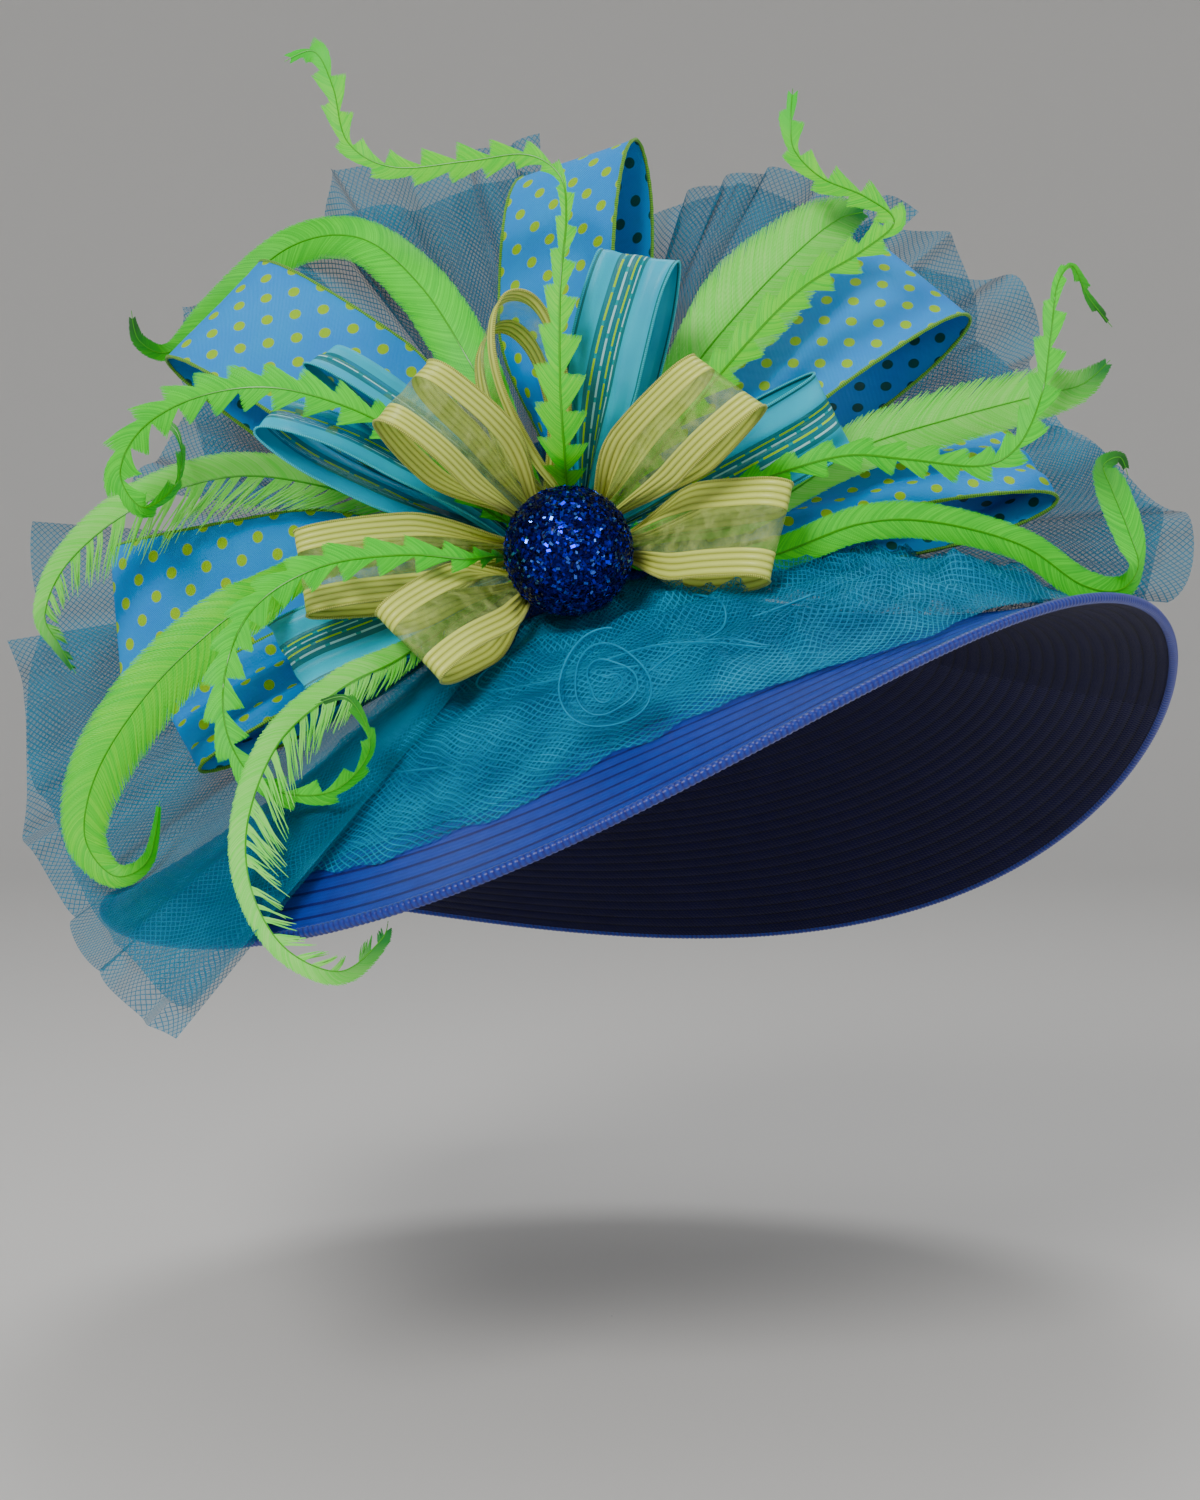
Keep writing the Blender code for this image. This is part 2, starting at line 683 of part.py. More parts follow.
def build_fan(name, rows):
    """Build a pleated fan of net that spreads from behind the bow."""
    root_radius, fall_power = FAN_SHAPES[name]
    across_steps = 2 * (len(rows) - 1)
    grid = []
    for radial in range(FAN_STEPS + 1):
        part = radial / FAN_STEPS
        line = []
        for step in range(across_steps + 1):
            row = read_table(FAN_COLUMNS, rows, step / across_steps)
            angle = math.radians(row["clock"])
            distance = root_radius + (row["reach"] - root_radius) * part
            pleat = FAN_PLEAT * part * (-1.0) ** step
            fall = (row["forward"] - FAN_ROOT_FORWARD) * part ** fall_power
            depth = FAN_ROOT_FORWARD + fall + pleat
            line.append(seen(distance * math.sin(angle), distance * math.cos(angle), depth))
        grid.append(line)
    return sheet_solid(name, grid, NET_THICKNESS, "net")


def build_net_band():
    """Build the gathered band of net that lies on the front of the brim."""
    across_steps = 3 * (len(NET_BAND) - 1)
    grid = []
    for radial in range(BAND_STEPS + 1):
        part = radial / BAND_STEPS
        line = []
        for step in range(across_steps + 1):
            row = read_table(BAND_COLUMNS, NET_BAND, step / across_steps)
            pleat = BAND_PLEAT * part * math.sin(step * BAND_PLEAT_TURN)
            radius = row["inner"] + (row["outer"] - row["inner"]) * part
            lift = BAND_SEAT + (row["lift"] - BAND_SEAT) * smooth_step(part, 0.5) + pleat
            line.append(on_brim(math.radians(row["azimuth"]), radius, lift))
        grid.append(line)
    return sheet_solid("net_band_front", grid, NET_THICKNESS, "net")


def build_whorl():
    """Build the rolled whorl of net that stands on the front of the band."""
    azimuth = math.radians(WHORL_AZIMUTH)
    middle = on_brim(azimuth, WHORL_DISTANCE, WHORL_LIFT)
    axis = (VIEW_FROM - middle).normalized()
    across = axis.cross(Vector((0.0, 0.0, 1.0))).normalized()
    upward = across.cross(axis)
    stations = []
    for step in range(WHORL_STEPS + 1):
        part = step / WHORL_STEPS
        angle = 2.0 * math.pi * WHORL_TURNS * part
        radius = WHORL_CORE + (WHORL_RADIUS - WHORL_CORE) * part
        outward = across * math.cos(angle) + upward * math.sin(angle)
        spot = middle + outward * radius
        width = WHORL_CORE_WIDTH + (WHORL_WIDTH - WHORL_CORE_WIDTH) * part
        stations.append((spot, spot + axis * width, outward))
    return strip_solid("net_whorl", stations, NET_THICKNESS, "net")


def build_ball():
    """Build the glitter ball at the middle of the bow."""
    shape = bmesh.new()
    bmesh.ops.create_icosphere(shape, subdivisions=3, radius=BALL_RADIUS)
    middle = seen(0.0, 0.0, BALL_FORWARD)
    points = [vertex.co + middle for vertex in shape.verts]
    faces = [tuple(vertex.index for vertex in face.verts) for face in shape.faces]
    shape.free()
    return add_solid("glitter_ball", points, faces, "glitter")


def build_post():
    """Build the hidden felt post that carries the bow on the front of the crown."""
    steps = (
        (NECK_RADIUS, POST_BACK),
        (NECK_RADIUS, POST_SHOULDER_BACK),
        (POST_RADIUS, POST_SHOULDER_BACK),
        (POST_RADIUS, POST_SHOULDER_FRONT),
        (POST_FRONT_RADIUS, POST_SHOULDER_FRONT),
        (POST_FRONT_RADIUS, POST_FRONT),
    )
    points = []
    for radius, forward in steps:
        for side in range(POST_SIDES):
            angle = 2.0 * math.pi * side / POST_SIDES
            points.append(seen(radius * math.cos(angle), radius * math.sin(angle), forward))
    faces = []
    for step in range(len(steps) - 1):
        faces += ring_faces(step * POST_SIDES, (step + 1) * POST_SIDES, POST_SIDES)
    faces.append(tuple(range(POST_SIDES)))
    faces.append(tuple(range((len(steps) - 1) * POST_SIDES, len(steps) * POST_SIDES)))
    return add_solid("bow_post", points, faces, "post_felt")


def build_hat():
    """Build every piece of the hat."""
    for item in list(bpy.data.objects):
        bpy.data.objects.remove(item)
    build_crown()
    build_brim()
    build_binding()
    build_post()
    build_ball()
    for loop in LOOPS:
        build_loop(loop)
    for name, rows in PLAIN_FEATHERS.items():
        build_plain_feather(name, rows)
    for name, rows in NOTCHED_FEATHERS.items():
        build_notched_feather(name, rows)
    for name, rows in FANS.items():
        build_fan(name, rows)
    build_net_band()
    build_whorl()


build_hat()
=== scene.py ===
# %% [markdown]
# # Dressing a derby hat
# The hat is a wide straw hat for a day at the races. A bow of wired ribbon loops, curled feathers
# and net sits on its front. The solids already give the shape, so this lesson makes what an eye
# looks for up close: sewn rows of braid, printed dots, ribbed bands, barbs, mesh and glitter.
# Shapes are drawn in millimetres and turned into metres at the last moment. Finishes work in
# metres from the start.

# %% Load the solids
import json
import math

import bpy
import numpy as np
from mathutils import Matrix, Vector, noise

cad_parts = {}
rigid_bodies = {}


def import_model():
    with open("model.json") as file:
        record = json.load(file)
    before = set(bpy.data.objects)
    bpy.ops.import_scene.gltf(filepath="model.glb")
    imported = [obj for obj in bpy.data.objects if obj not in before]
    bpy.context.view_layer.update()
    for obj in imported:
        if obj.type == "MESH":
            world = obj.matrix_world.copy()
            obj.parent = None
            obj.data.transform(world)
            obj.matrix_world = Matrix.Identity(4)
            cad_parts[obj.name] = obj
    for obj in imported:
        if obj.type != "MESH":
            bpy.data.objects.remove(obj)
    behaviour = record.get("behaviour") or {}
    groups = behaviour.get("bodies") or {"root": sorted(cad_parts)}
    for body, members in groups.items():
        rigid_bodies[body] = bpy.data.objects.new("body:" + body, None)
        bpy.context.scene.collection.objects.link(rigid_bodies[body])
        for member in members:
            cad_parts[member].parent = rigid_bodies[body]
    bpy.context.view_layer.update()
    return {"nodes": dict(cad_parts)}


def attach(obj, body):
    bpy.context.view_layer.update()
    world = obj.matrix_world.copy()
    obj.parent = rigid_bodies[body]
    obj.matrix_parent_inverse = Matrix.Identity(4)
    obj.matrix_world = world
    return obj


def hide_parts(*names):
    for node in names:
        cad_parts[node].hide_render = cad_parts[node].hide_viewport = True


for leftover in list(bpy.data.objects):
    bpy.data.objects.remove(leftover)
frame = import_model()
MM = 0.001
print("solids:", len(frame["nodes"]))

# %% [markdown]
# ## Maths for finishes
# A procedural finish is a formula over the surface. Writing it as Python sums reads better than
# linking boxes by hand, so a small class wraps a socket and each sum adds one Math node.
# Everything else comes from one method, which sets a node's options before its sockets.


# %% A wire is a socket that can be added, multiplied and compared
def sum_node(operation, reflected=False):
    """Return an operator that adds a Math node. Reflected, the wire is its second value."""

    def add_node(wire, other):
        return wire.maths(operation, *((other, wire) if reflected else (wire, other)))

    return add_node


class Wire:
    """One output socket of a finish. Sums written with it add Math nodes."""

    def __init__(self, finish, socket):
        self.finish = finish
        self.socket = socket

    def maths(self, operation, *values):
        sockets = dict(enumerate(values))
        return self.finish.node("ShaderNodeMath", {"operation": operation}, sockets)

    __add__ = sum_node("ADD")
    __radd__ = sum_node("ADD", reflected=True)
    __sub__ = sum_node("SUBTRACT")
    __rsub__ = sum_node("SUBTRACT", reflected=True)
    __mul__ = sum_node("MULTIPLY")
    __rmul__ = sum_node("MULTIPLY", reflected=True)
    __truediv__ = sum_node("DIVIDE")
    __pow__ = sum_node("POWER")
    __lt__ = sum_node("LESS_THAN")
    __gt__ = sum_node("GREATER_THAN")
    at_most = sum_node("MINIMUM")
    at_least = sum_node("MAXIMUM")

    def sine(self):
        return self.maths("SINE", self)

    def size(self):
        return self.maths("ABSOLUTE", self)

    def step(self):
        return self.maths("FLOOR", self)

    def part(self):
        return self.maths("FRACT", self)

    def kept(self):
        """Keep a value from 0 to 1."""
        return self.at_most(1.0).at_least(0.0)

    def ridges(self, pitch):
        """Return rounded ridges from 0 to 1, one for each pitch."""
        return (self * (math.pi / pitch)).sine().size()


print("reflected sums:", [word for word in vars(Wire) if word.startswith("__r")])


# %% A finish is a material with its one shader
class Finish:
    """A material. node() adds any node; show() feeds the shader."""

    def __init__(self, name, **fixed):
        self.material = bpy.data.materials.new(name)
        self.material.use_nodes = True
        self.tree = self.material.node_tree
        self.shader = self.tree.nodes["Principled BSDF"]
        self.show(**fixed)

    def feed(self, socket, value):
        if isinstance(value, Wire):
            self.tree.links.new(value.socket, socket)
        else:
            socket.default_value = value

    def node(self, kind, settings=None, sockets=None, out=0):
        made = self.tree.nodes.new(kind)
        for word, value in (settings or {}).items():
            setattr(made, word, value)
        for socket, value in (sockets or {}).items():
            self.feed(made.inputs[socket], value)
        return Wire(self, made.outputs[out])

    def show(self, **sockets):
        for word, value in sockets.items():
            self.feed(self.shader.inputs[word.replace("_", " ")], value)

    def place(self, layer="metres"):
        """Return how far along and across the piece a point is, or what else a layer holds."""
        spot = self.node("ShaderNodeUVMap", {"uv_map": layer})
        split = self.node("ShaderNodeSeparateXYZ", None, {0: spot})
        return split, Wire(self, split.socket.node.outputs[1])

    def blend(self, factor, first, second):
        """Mix two colours."""
        settings = {"data_type": "RGBA", "clamp_factor": True}
        return self.node("ShaderNodeMix", settings, {0: factor, 6: first, 7: second}, 2)

    def cloud(self, scale, detail=2.0):
        """Return a soft noise from 0 to 1, in the piece's own space."""
        spot = self.node("ShaderNodeTexCoord", None, None, 3)
        return self.node("ShaderNodeTexNoise", None, {"Vector": spot, "Scale": scale, "Detail": detail})

    def bump(self, height, distance, strength=1.0):
        """Feed the normal from a height, in metres."""
        sockets = {"Height": height, "Distance": distance, "Strength": strength}
        self.show(Normal=self.node("ShaderNodeBump", None, sockets))


VIVID = 1.38
DARKEST = 0.0008
LIGHTEST = 0.95


def srgb(red, green, blue):
    """Return a screen colour, in parts of 255, as the linear colour that a shader wants.

    The picture's tone curve greys strong colours, so each is made purer by VIVID first."""
    linear = [((part / 255 + 0.055) / 1.055) ** 2.4 for part in (red, green, blue)]
    grey = sum(linear) / 3.0
    pure = [min(max(grey + (part - grey) * VIVID, DARKEST), LIGHTEST) for part in linear]
    return (*pure, 1.0)


print("a mid blue is", [round(part, 3) for part in srgb(63, 95, 190)])

# %% [markdown]
# ## Where things are
# The hat is worn at a tilt. It is easiest to draw upright, so its straw is drawn in its own
# frame and then turned. The bow is laid out as it is seen from the front: across, up, and
# forward along the line of sight, from the middle of the glitter ball.

# %% The hat's frame and the brim's surface
TILT_RIGHT = math.radians(11.0)
TILT_BACK = math.radians(13.3)
HEAD_HALF_WIDTH = 84.0
HEAD_HALF_DEPTH = 98.0
CROWN_HEIGHT = 104.0
CROWN_EDGE_RADIUS = 34.0
CROWN_TAPER = 0.90
STRAW_THICKNESS = 2.0
BRIM_RADIUS = 280.0
BRIM_DROP = 103.0
BRIM_FALL_POWER = 1.05
BRIM_WAVE = 43.0
BRIM_WAVE_AZIMUTH = math.radians(-30.5)
BRIM_SKEW = 3.0
BRIM_SKEW_AZIMUTH = math.radians(9.0)

tip_right = Matrix.Rotation(TILT_RIGHT, 3, "Y").transposed()
HAT_TILT = np.array(Matrix.Rotation(-TILT_BACK, 3, "X") @ tip_right)


def opening_radius(azimuth):
    """Return the head opening's outer radius at an azimuth."""
    across = np.cos(azimuth) / (HEAD_HALF_WIDTH + STRAW_THICKNESS)
    along = np.sin(azimuth) / (HEAD_HALF_DEPTH + STRAW_THICKNESS)
    return 1.0 / np.hypot(across, along)


def brim_height(azimuth, radius):
    """Return the height of the brim's upper face: a falling cone with a wave round its rim."""
    inner = opening_radius(azimuth)
    part = np.maximum(radius - inner, 0.0) / (BRIM_RADIUS - inner)
    wave = BRIM_WAVE * np.cos(2.0 * (azimuth - BRIM_WAVE_AZIMUTH))
    skew = BRIM_SKEW * np.cos(3.0 * (azimuth - BRIM_SKEW_AZIMUTH))
    return (wave - skew) * part ** 2 - BRIM_DROP * part ** BRIM_FALL_POWER


def worn(across, along, height):
    """Return points of the upright hat where they are when it is worn."""
    return np.stack(np.broadcast_arrays(across, along, height), -1) @ HAT_TILT.T


def on_brim(azimuth, radius, lift):
    """Return worn points over the brim's upper face."""
    height = brim_height(azimuth, radius) + lift
    return worn(radius * np.cos(azimuth), radius * np.sin(azimuth), height)


print("rim at the wearer's front:", on_brim(-math.pi / 2, BRIM_RADIUS, 0.0).round())

# %% The bow's frame, along the lines of sight
VIEW_DISTANCE = 1118.0
VIEW_FROM = Vector((-6.4, -1230.0, 0.0))
BOW_MIDDLE = Vector((-21.7, -112.0, 48.1))


def seen(across, up, forward):
    """Return the place that is seen at across and up, moved forward along the line of sight."""
    flat = BOW_MIDDLE + Vector((across, 0.0, up))
    return VIEW_FROM + (flat - VIEW_FROM) * (VIEW_DISTANCE - forward) / VIEW_DISTANCE


print("100 mm to the right of the bow's middle:", seen(100.0, 0.0, 0.0))


# %% Small tools
NEARLY_NOTHING = 1e-9


def smooth_step(value, end):
    """Rise smoothly from 0 to 1 as value goes from 0 to end."""
    part = np.clip(value / end, 0.0, 1.0)
    return part * part * (3.0 - 2.0 * part)


def read_table(columns, rows, place):
    """Read a table at a place from 0 to 1 along it, on a smooth curve through its rows."""
    last = len(rows) - 1
    scaled = min(max(place, 0.0), 1.0) * last
    index = min(int(scaled), last - 1)
    part = scaled - index
    near = (rows[max(index - 1, 0)], rows[index], rows[index + 1], rows[min(index + 2, last)])
    values = {}
    for column, a, b, c, d in zip(columns, *near):
        bend = 2 * b + (c - a) * part + (2 * a - 5 * b + 4 * c - d) * part ** 2
        values[column] = 0.5 * (bend + (3 * b - a - 3 * c + d) * part ** 3)
    return values


def rough(a, b, c):
    """Return a smooth random number, from about -1 to 1, that belongs to a point of space."""
    return noise.noise(Vector((a, b, c)))


def unit(vectors):
    """Return vectors of length 1 that point the same way."""
    return vectors / np.maximum(np.linalg.norm(vectors, axis=-1, keepdims=True), NEARLY_NOTHING)


def full_turn(sides):
    """Return the angles of evenly spaced sides round a circle."""
    return 2.0 * math.pi * np.arange(sides) / sides


print("a smooth step at a quarter of its way:", float(smooth_step(0.25, 1.0)))

# %% [markdown]
# ## Making pieces
# Nearly every piece here is a grid of points: rows along it, columns across it. One function
# turns a grid into a mesh, closes it round where asked, and gives every face corner its place
# on the flat cloth in metres, so that a finish can be drawn in real sizes.


# %% Turn points and faces into a piece
SHARP_ANGLE = math.radians(60.0)


def add_piece(name, points, faces, metres, finishes, replaced, kinds=None):
    """Make a mesh piece that rides on the hat and stands for solids of the same place."""
    mesh = bpy.data.meshes.new(name)
    mesh.from_pydata((np.asarray(points) * MM).tolist(), [], [list(face) for face in faces])
    layer = mesh.uv_layers.new(name="metres")
    layer.data.foreach_set("uv", (np.asarray(metres, np.float32) * MM).ravel())
    for finish in finishes:
        mesh.materials.append(finish.material)
    if kinds is not None:
        mesh.polygons.foreach_set("material_index", np.asarray(kinds, np.int32))
    mesh.shade_smooth()
    mesh.set_sharp_from_angle(angle=SHARP_ANGLE)
    piece = bpy.data.objects.new(name, mesh)
    bpy.context.collection.objects.link(piece)
    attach(piece, "root")
    if replaced:
        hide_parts(*replaced)
    return piece


print("edges sharper than", round(math.degrees(SHARP_ANGLE)), "degrees stay sharp")


# %% Turn a grid into a piece
def inside_out(points, faces):
    """Tell whether four-sided faces look into the space that they close."""
    a, b, c, d = (points[faces[:, corner]] for corner in range(4))
    return np.einsum("ij,ij->", a, np.cross(b, c) + np.cross(c, d)) < 0.0


def grid_faces(rows, columns, round_rows=False, round_columns=False):
    """Return a grid's faces, and the unrolled row and column of each face corner."""
    row, column = np.meshgrid(
        np.arange(rows if round_rows else rows - 1),
        np.arange(columns if round_columns else columns - 1),
        indexing="ij",
    )
    row, column = row.ravel(), column.ravel()
    down = np.stack([row, row, row + 1, row + 1], 1)
    over = np.stack([column, column + 1, column + 1, column], 1)
    return (down % rows) * columns + over % columns, down, over


def add_grid(name, grid, along, across, finishes, replaced, rounds=(False, False), kinds=None):
    """Make a piece from a grid of points. along and across hold each unrolled point's place."""
    rows, columns = grid.shape[:2]
    unrolled = (rows + rounds[0], columns + rounds[1])
    along, across = (np.broadcast_to(place, unrolled) for place in (along, across))
    points = grid.reshape(-1, 3)
    faces, down, over = grid_faces(rows, columns, *rounds)
    metres = np.stack([along[down, over], across[down, over]], -1)
    kinds = None if kinds is None else kinds(down[:, 0], over[:, 0])
    if any(rounds) and inside_out(points, faces):
        faces, metres = faces[:, ::-1], metres[:, ::-1]
    faces, metres = list(faces), [metres.reshape(-1, 2)]
    if rounds == (False, True):
        for row in (0, rows - 1):
            faces.append(row * columns + np.arange(columns))
            metres.append(np.stack([along[row, :columns], across[row, :columns]], -1))
        kinds = None if kinds is None else np.append(kinds, [0, 0])
    return add_piece(name, points, faces, np.concatenate(metres), finishes, replaced, kinds)


def lengths(path):
    """Return how far along a path each of its points is."""
    steps = np.linalg.norm(np.diff(np.asarray(path), axis=0), axis=1)
    return np.concatenate([[0.0], np.cumsum(steps)])


print("faces of a closed grid of 4 by 3 points:", len(grid_faces(4, 3, True, True)[0]))

# %% Thin tubes, for edge wires, quills and cords of net
TUBE_SIDES = 5
TUBE_ASIDE = np.array([0.13, 0.21, 0.97])


def add_tube(name, path, radii, along, side_length, finish):
    """Make a thin tube round a path. No tube here runs along TUBE_ASIDE, which sets its turn."""
    ahead = unit(np.gradient(path, axis=0))
    aside = unit(np.cross(ahead, TUBE_ASIDE))
    above = np.cross(aside, ahead)
    turn = full_turn(TUBE_SIDES)[None, :, None]
    ring = np.cos(turn) * aside[:, None] + np.sin(turn) * above[:, None]
    tube = path[:, None] + ring * np.broadcast_to(radii, (len(path), TUBE_SIDES))[..., None]
    around = np.arange(TUBE_SIDES + 1) * side_length
    return add_grid(name, tube, along[:, None], around, (finish,), None, (False, True))


print("sides of a thin tube:", TUBE_SIDES)

# %% [markdown]
# ## Straw
# The hat is sewn from one long plaited braid, laid round and round with each row over the edge
# of the last. The rows are real ridges here, because they show at the rim. The plait inside a
# row is far finer, so it is a bump: two families of slanting strands that cross each other.


# %% The straw finishes
BRAID_WIDTH = 5.9
STRAND_ALONG = 0.0024
STRAND_ACROSS = 0.0030
ROW_START = 0.02
GROOVE_SHADE_START = 0.72


def straw_finish(name, dark, light, roughness, sheen, groove_shade_strength=1.1):
    """Make the finish of plaited braid. The last argument sets the painted shade between two rows."""
    straw = Finish(name, Roughness=roughness, Sheen_Weight=sheen, Sheen_Roughness=0.4)
    straw.show(Sheen_Tint=light)
    along, across = straw.place()
    slant = along / STRAND_ALONG
    rise = across / STRAND_ACROSS
    strands = (slant + rise).ridges(1.0).at_least((slant - rise).ridges(1.0))
    mottle = straw.cloud(160.0, 3.0)
    streak = straw.cloud(24.0)
    # Painted shade: the colour is darkened in the dip between two rows of braid.
    row = ((across / (BRAID_WIDTH * MM) + ROW_START).part() - 0.5).size() * 2.0
    groove_shade = ((row - GROOVE_SHADE_START) * 4.0).kept()
    tone = (strands ** 2.0) * 0.5 + mottle * 0.5 + streak * 0.3 - 0.15
    straw.show(Base_Color=straw.blend(tone - groove_shade * groove_shade_strength, dark, light))
    straw.bump(strands, 0.0005, 0.8)
    return straw


MEAN_OPENING = 92.0
BRIM_ROWS = round((BRIM_RADIUS - MEAN_OPENING) / BRAID_WIDTH)
upper_straw = straw_finish("upper_straw", srgb(8, 18, 98), srgb(56, 92, 190), 0.4, 0.15, 1.5)
# The brim's underside and the crown's inside are navy straw painted much darker still, as painted
# shade.
shaded_under_straw = straw_finish("shaded_under_straw", srgb(2, 3, 26), srgb(8, 12, 62), 0.5, 0.0, 0.7)
shaded_under_straw.show(Specular_IOR_Level=0.2)
print("rows of braid on the brim:", BRIM_ROWS)

# %% The brim
RIDGE_STEPS = 6
RIDGE_HEIGHT = 1.1
RIDGE_START = 0.08
RIDGE_SPAN = 0.9
RIDGE_POWER = 0.6
SEWN_LAP = 0.9
BRIM_SIDES = 224
BRAID_SEAM = 100.0


def braid_ridge(distance):
    """Return how high the rounded face of a row of braid stands, at a distance over the rows."""
    part = np.mod(distance / BRAID_WIDTH, 1.0)
    share = np.clip(part * RIDGE_SPAN + RIDGE_START, 0.0, 1.0)
    return RIDGE_HEIGHT * np.sin(math.pi * share) ** RIDGE_POWER


def build_brim():
    """Build the brim's upper and under faces as rows of braid, joined at both edges."""
    azimuth = full_turn(BRIM_SIDES)
    inner = opening_radius(azimuth) - SEWN_LAP
    part = np.linspace(0.0, 1.0, BRIM_ROWS * RIDGE_STEPS + 1)[:, None]
    radius = inner + (BRIM_RADIUS - inner) * part
    ridge = braid_ridge(part * BRIM_ROWS * BRAID_WIDTH)
    top = on_brim(azimuth[None], radius, ridge - RIDGE_HEIGHT)
    base = on_brim(azimuth[None], radius, RIDGE_HEIGHT - STRAW_THICKNESS - ridge)
    grid = np.concatenate([top, base[::-1]])
    count = len(part)
    distance = np.concatenate([part, part[::-1], part[:1]]) * BRIM_ROWS * BRAID_WIDTH
    along = np.append(azimuth, 2.0 * math.pi) * (BRAID_SEAM + distance)
    return add_grid(
        "straw_brim", grid, along, distance, (upper_straw, shaded_under_straw), ["brim"],
        (True, True), lambda down, over: (down >= count - 1).astype(int),
    )


brim = build_brim()
print("brim faces:", len(brim.data.polygons))

# %% The crown
CROWN_SIDES = 120
CROWN_MEAN_RADIUS = 80.0
CROWN_WALL = ((0.985, 0.12), (0.955, 0.40))
CROWN_BUTTON = ((0.25, 2.0), (0.0005, 2.2))
CROWN_TOP_SHARE = 0.2
CROWN_EDGE_TURNS = range(0, 91, 15)


def crown_line(outward):
    """List the crown's wall from the opening to its top, as scale and height pairs."""
    shrink = CROWN_EDGE_RADIUS / HEAD_HALF_WIDTH
    inset = 0.0 if outward else STRAW_THICKNESS
    line = [(1.0, -STRAW_THICKNESS)]
    line += [(scale, share * CROWN_HEIGHT) for scale, share in CROWN_WALL]
    for turn in CROWN_EDGE_TURNS:
        angle = math.radians(turn)
        scale = CROWN_TAPER - shrink * (1.0 - math.cos(angle))
        line.append((scale, CROWN_HEIGHT - inset - CROWN_EDGE_RADIUS * (1.0 - math.sin(angle))))
    line += [(scale, CROWN_HEIGHT - inset + rise) for scale, rise in CROWN_BUTTON]
    return np.array(line)


def build_crown():
    """Build the crown, outside and inside, as rows of braid that close to a button at the top."""
    azimuth = full_turn(CROWN_SIDES)
    shells = []
    spots = []
    for outward in (True, False):
        line = crown_line(outward)
        walk = lengths(line * np.array([HEAD_HALF_WIDTH, 1.0]))
        rows = round(walk[-1] / BRAID_WIDTH)
        fine = np.linspace(0.0, walk[-1], rows * RIDGE_STEPS + 1)
        scale = np.interp(fine, walk, line[:, 0])
        height = np.interp(fine, walk, line[:, 1])
        sunk = (braid_ridge(fine) - RIDGE_HEIGHT) * outward
        wall = sunk + STRAW_THICKNESS * outward
        top = (height / CROWN_HEIGHT - 1.0) / CROWN_TOP_SHARE + 1.0
        rise = sunk * np.clip(top, 0.0, 1.0)
        fade = np.clip(scale / CROWN_TOP_SHARE, 0.0, 1.0)
        across = (HEAD_HALF_WIDTH * scale + wall * fade)[:, None] * np.cos(azimuth)
        along = (HEAD_HALF_DEPTH * scale + wall * fade)[:, None] * np.sin(azimuth)
        shells.append(worn(across, along, (height + rise)[:, None]))
        spots.append(fine)
    grid = np.concatenate([shells[0], shells[1][::-1]])
    distance = np.concatenate([spots[0], spots[1][::-1], spots[0][:1]])
    around = np.append(azimuth, 2.0 * math.pi) * CROWN_MEAN_RADIUS
    return add_grid(
        "straw_crown", grid, around, distance[:, None], (upper_straw, shaded_under_straw), ["crown"],
        (True, True), lambda down, over: (down >= len(spots[0])).astype(int),
    )


crown = build_crown()
print("crown faces:", len(crown.data.polygons))

# %% [markdown]
# ## The bound rim
# The raw edge is bound with a cord of braid over a wire, whipped with a slanting stitch every few
# millimetres. It catches the light as a row of beads, so each wrap is a real ridge on the tube.

# %% The whipped cord round the rim
CORD_RADIUS = 2.3
CORD_OFFSET = 2.35
WRAP_HEIGHT = 0.32
WRAP_LENGTH = 2.7
CORD_STEPS = 4400
CORD_SIDES = 8
CORD_GIRTH = 16.4
CORD_WRAPS = round(2.0 * math.pi * BRIM_RADIUS / WRAP_LENGTH)
cord_straw = Finish("cord_thread", Roughness=0.4, Sheen_Weight=0.2)
cord_along, cord_across = cord_straw.place()
# Painted light and shade: each wrap's crest is coloured lighter and the dip between two wraps darker.
wrap_light_and_shade = (cord_along / (WRAP_LENGTH * MM) + cord_across / (CORD_GIRTH * MM)).ridges(1.0)
cord_tone = wrap_light_and_shade * 0.6 + cord_straw.cloud(500.0, 4.0) * 0.9 - 0.4
cord_straw.show(Base_Color=cord_straw.blend(cord_tone, srgb(16, 28, 104), srgb(50, 78, 164)))


def build_binding():
    """Build the whipped cord on the rim."""
    azimuth = full_turn(CORD_STEPS)
    rim = on_brim(azimuth, np.full(CORD_STEPS, BRIM_RADIUS), -0.5 * STRAW_THICKNESS)
    outward = worn(np.cos(azimuth), np.sin(azimuth), 0.0 * azimuth)
    upward = worn(0.0, 0.0, 1.0)
    middle = rim + outward * CORD_OFFSET
    turn = full_turn(CORD_SIDES)
    phase = CORD_WRAPS * azimuth[:, None] / 2.0 + turn[None] / 2.0
    radius = CORD_RADIUS + WRAP_HEIGHT * np.abs(np.sin(phase))
    ring = np.cos(turn)[None, :, None] * outward[:, None] + np.sin(turn)[None, :, None] * upward
    grid = middle[:, None] + ring * radius[..., None]
    along = np.arange(CORD_STEPS + 1)[:, None] * (CORD_WRAPS * WRAP_LENGTH / CORD_STEPS)
    across = np.arange(CORD_SIDES + 1) * (CORD_GIRTH / CORD_SIDES)
    return add_grid(
        "rim_cord", grid, along, across, (cord_straw,), ["brim_binding"], (True, True)
    )


binding = build_binding()
print("wraps round the rim:", CORD_WRAPS, "on", len(binding.data.polygons), "faces")

# %% [markdown]
# ## Ribbon
# Three ribbons make the bow. One is a woven blue with printed dots and a green overlocked wire
# edge. One is turquoise with satin borders and a sheer middle crossed by metallic lines. One is a
# green organza between ribbed satin bands. Each finish is drawn on the flat ribbon, across its
# real width, and the print shows through darker on the dotted ribbon's inner side.

# %% Ribbon widths and the tables of the bow
DOTTED_WIDTH = 63.0
STRIPED_WIDTH = 45.0
SHEER_WIDTH = 42.0
ROOT_RADIUS = 20.3
ROOT_WIDTH = 9.0
ROOT_HALF_GAP = 1.1
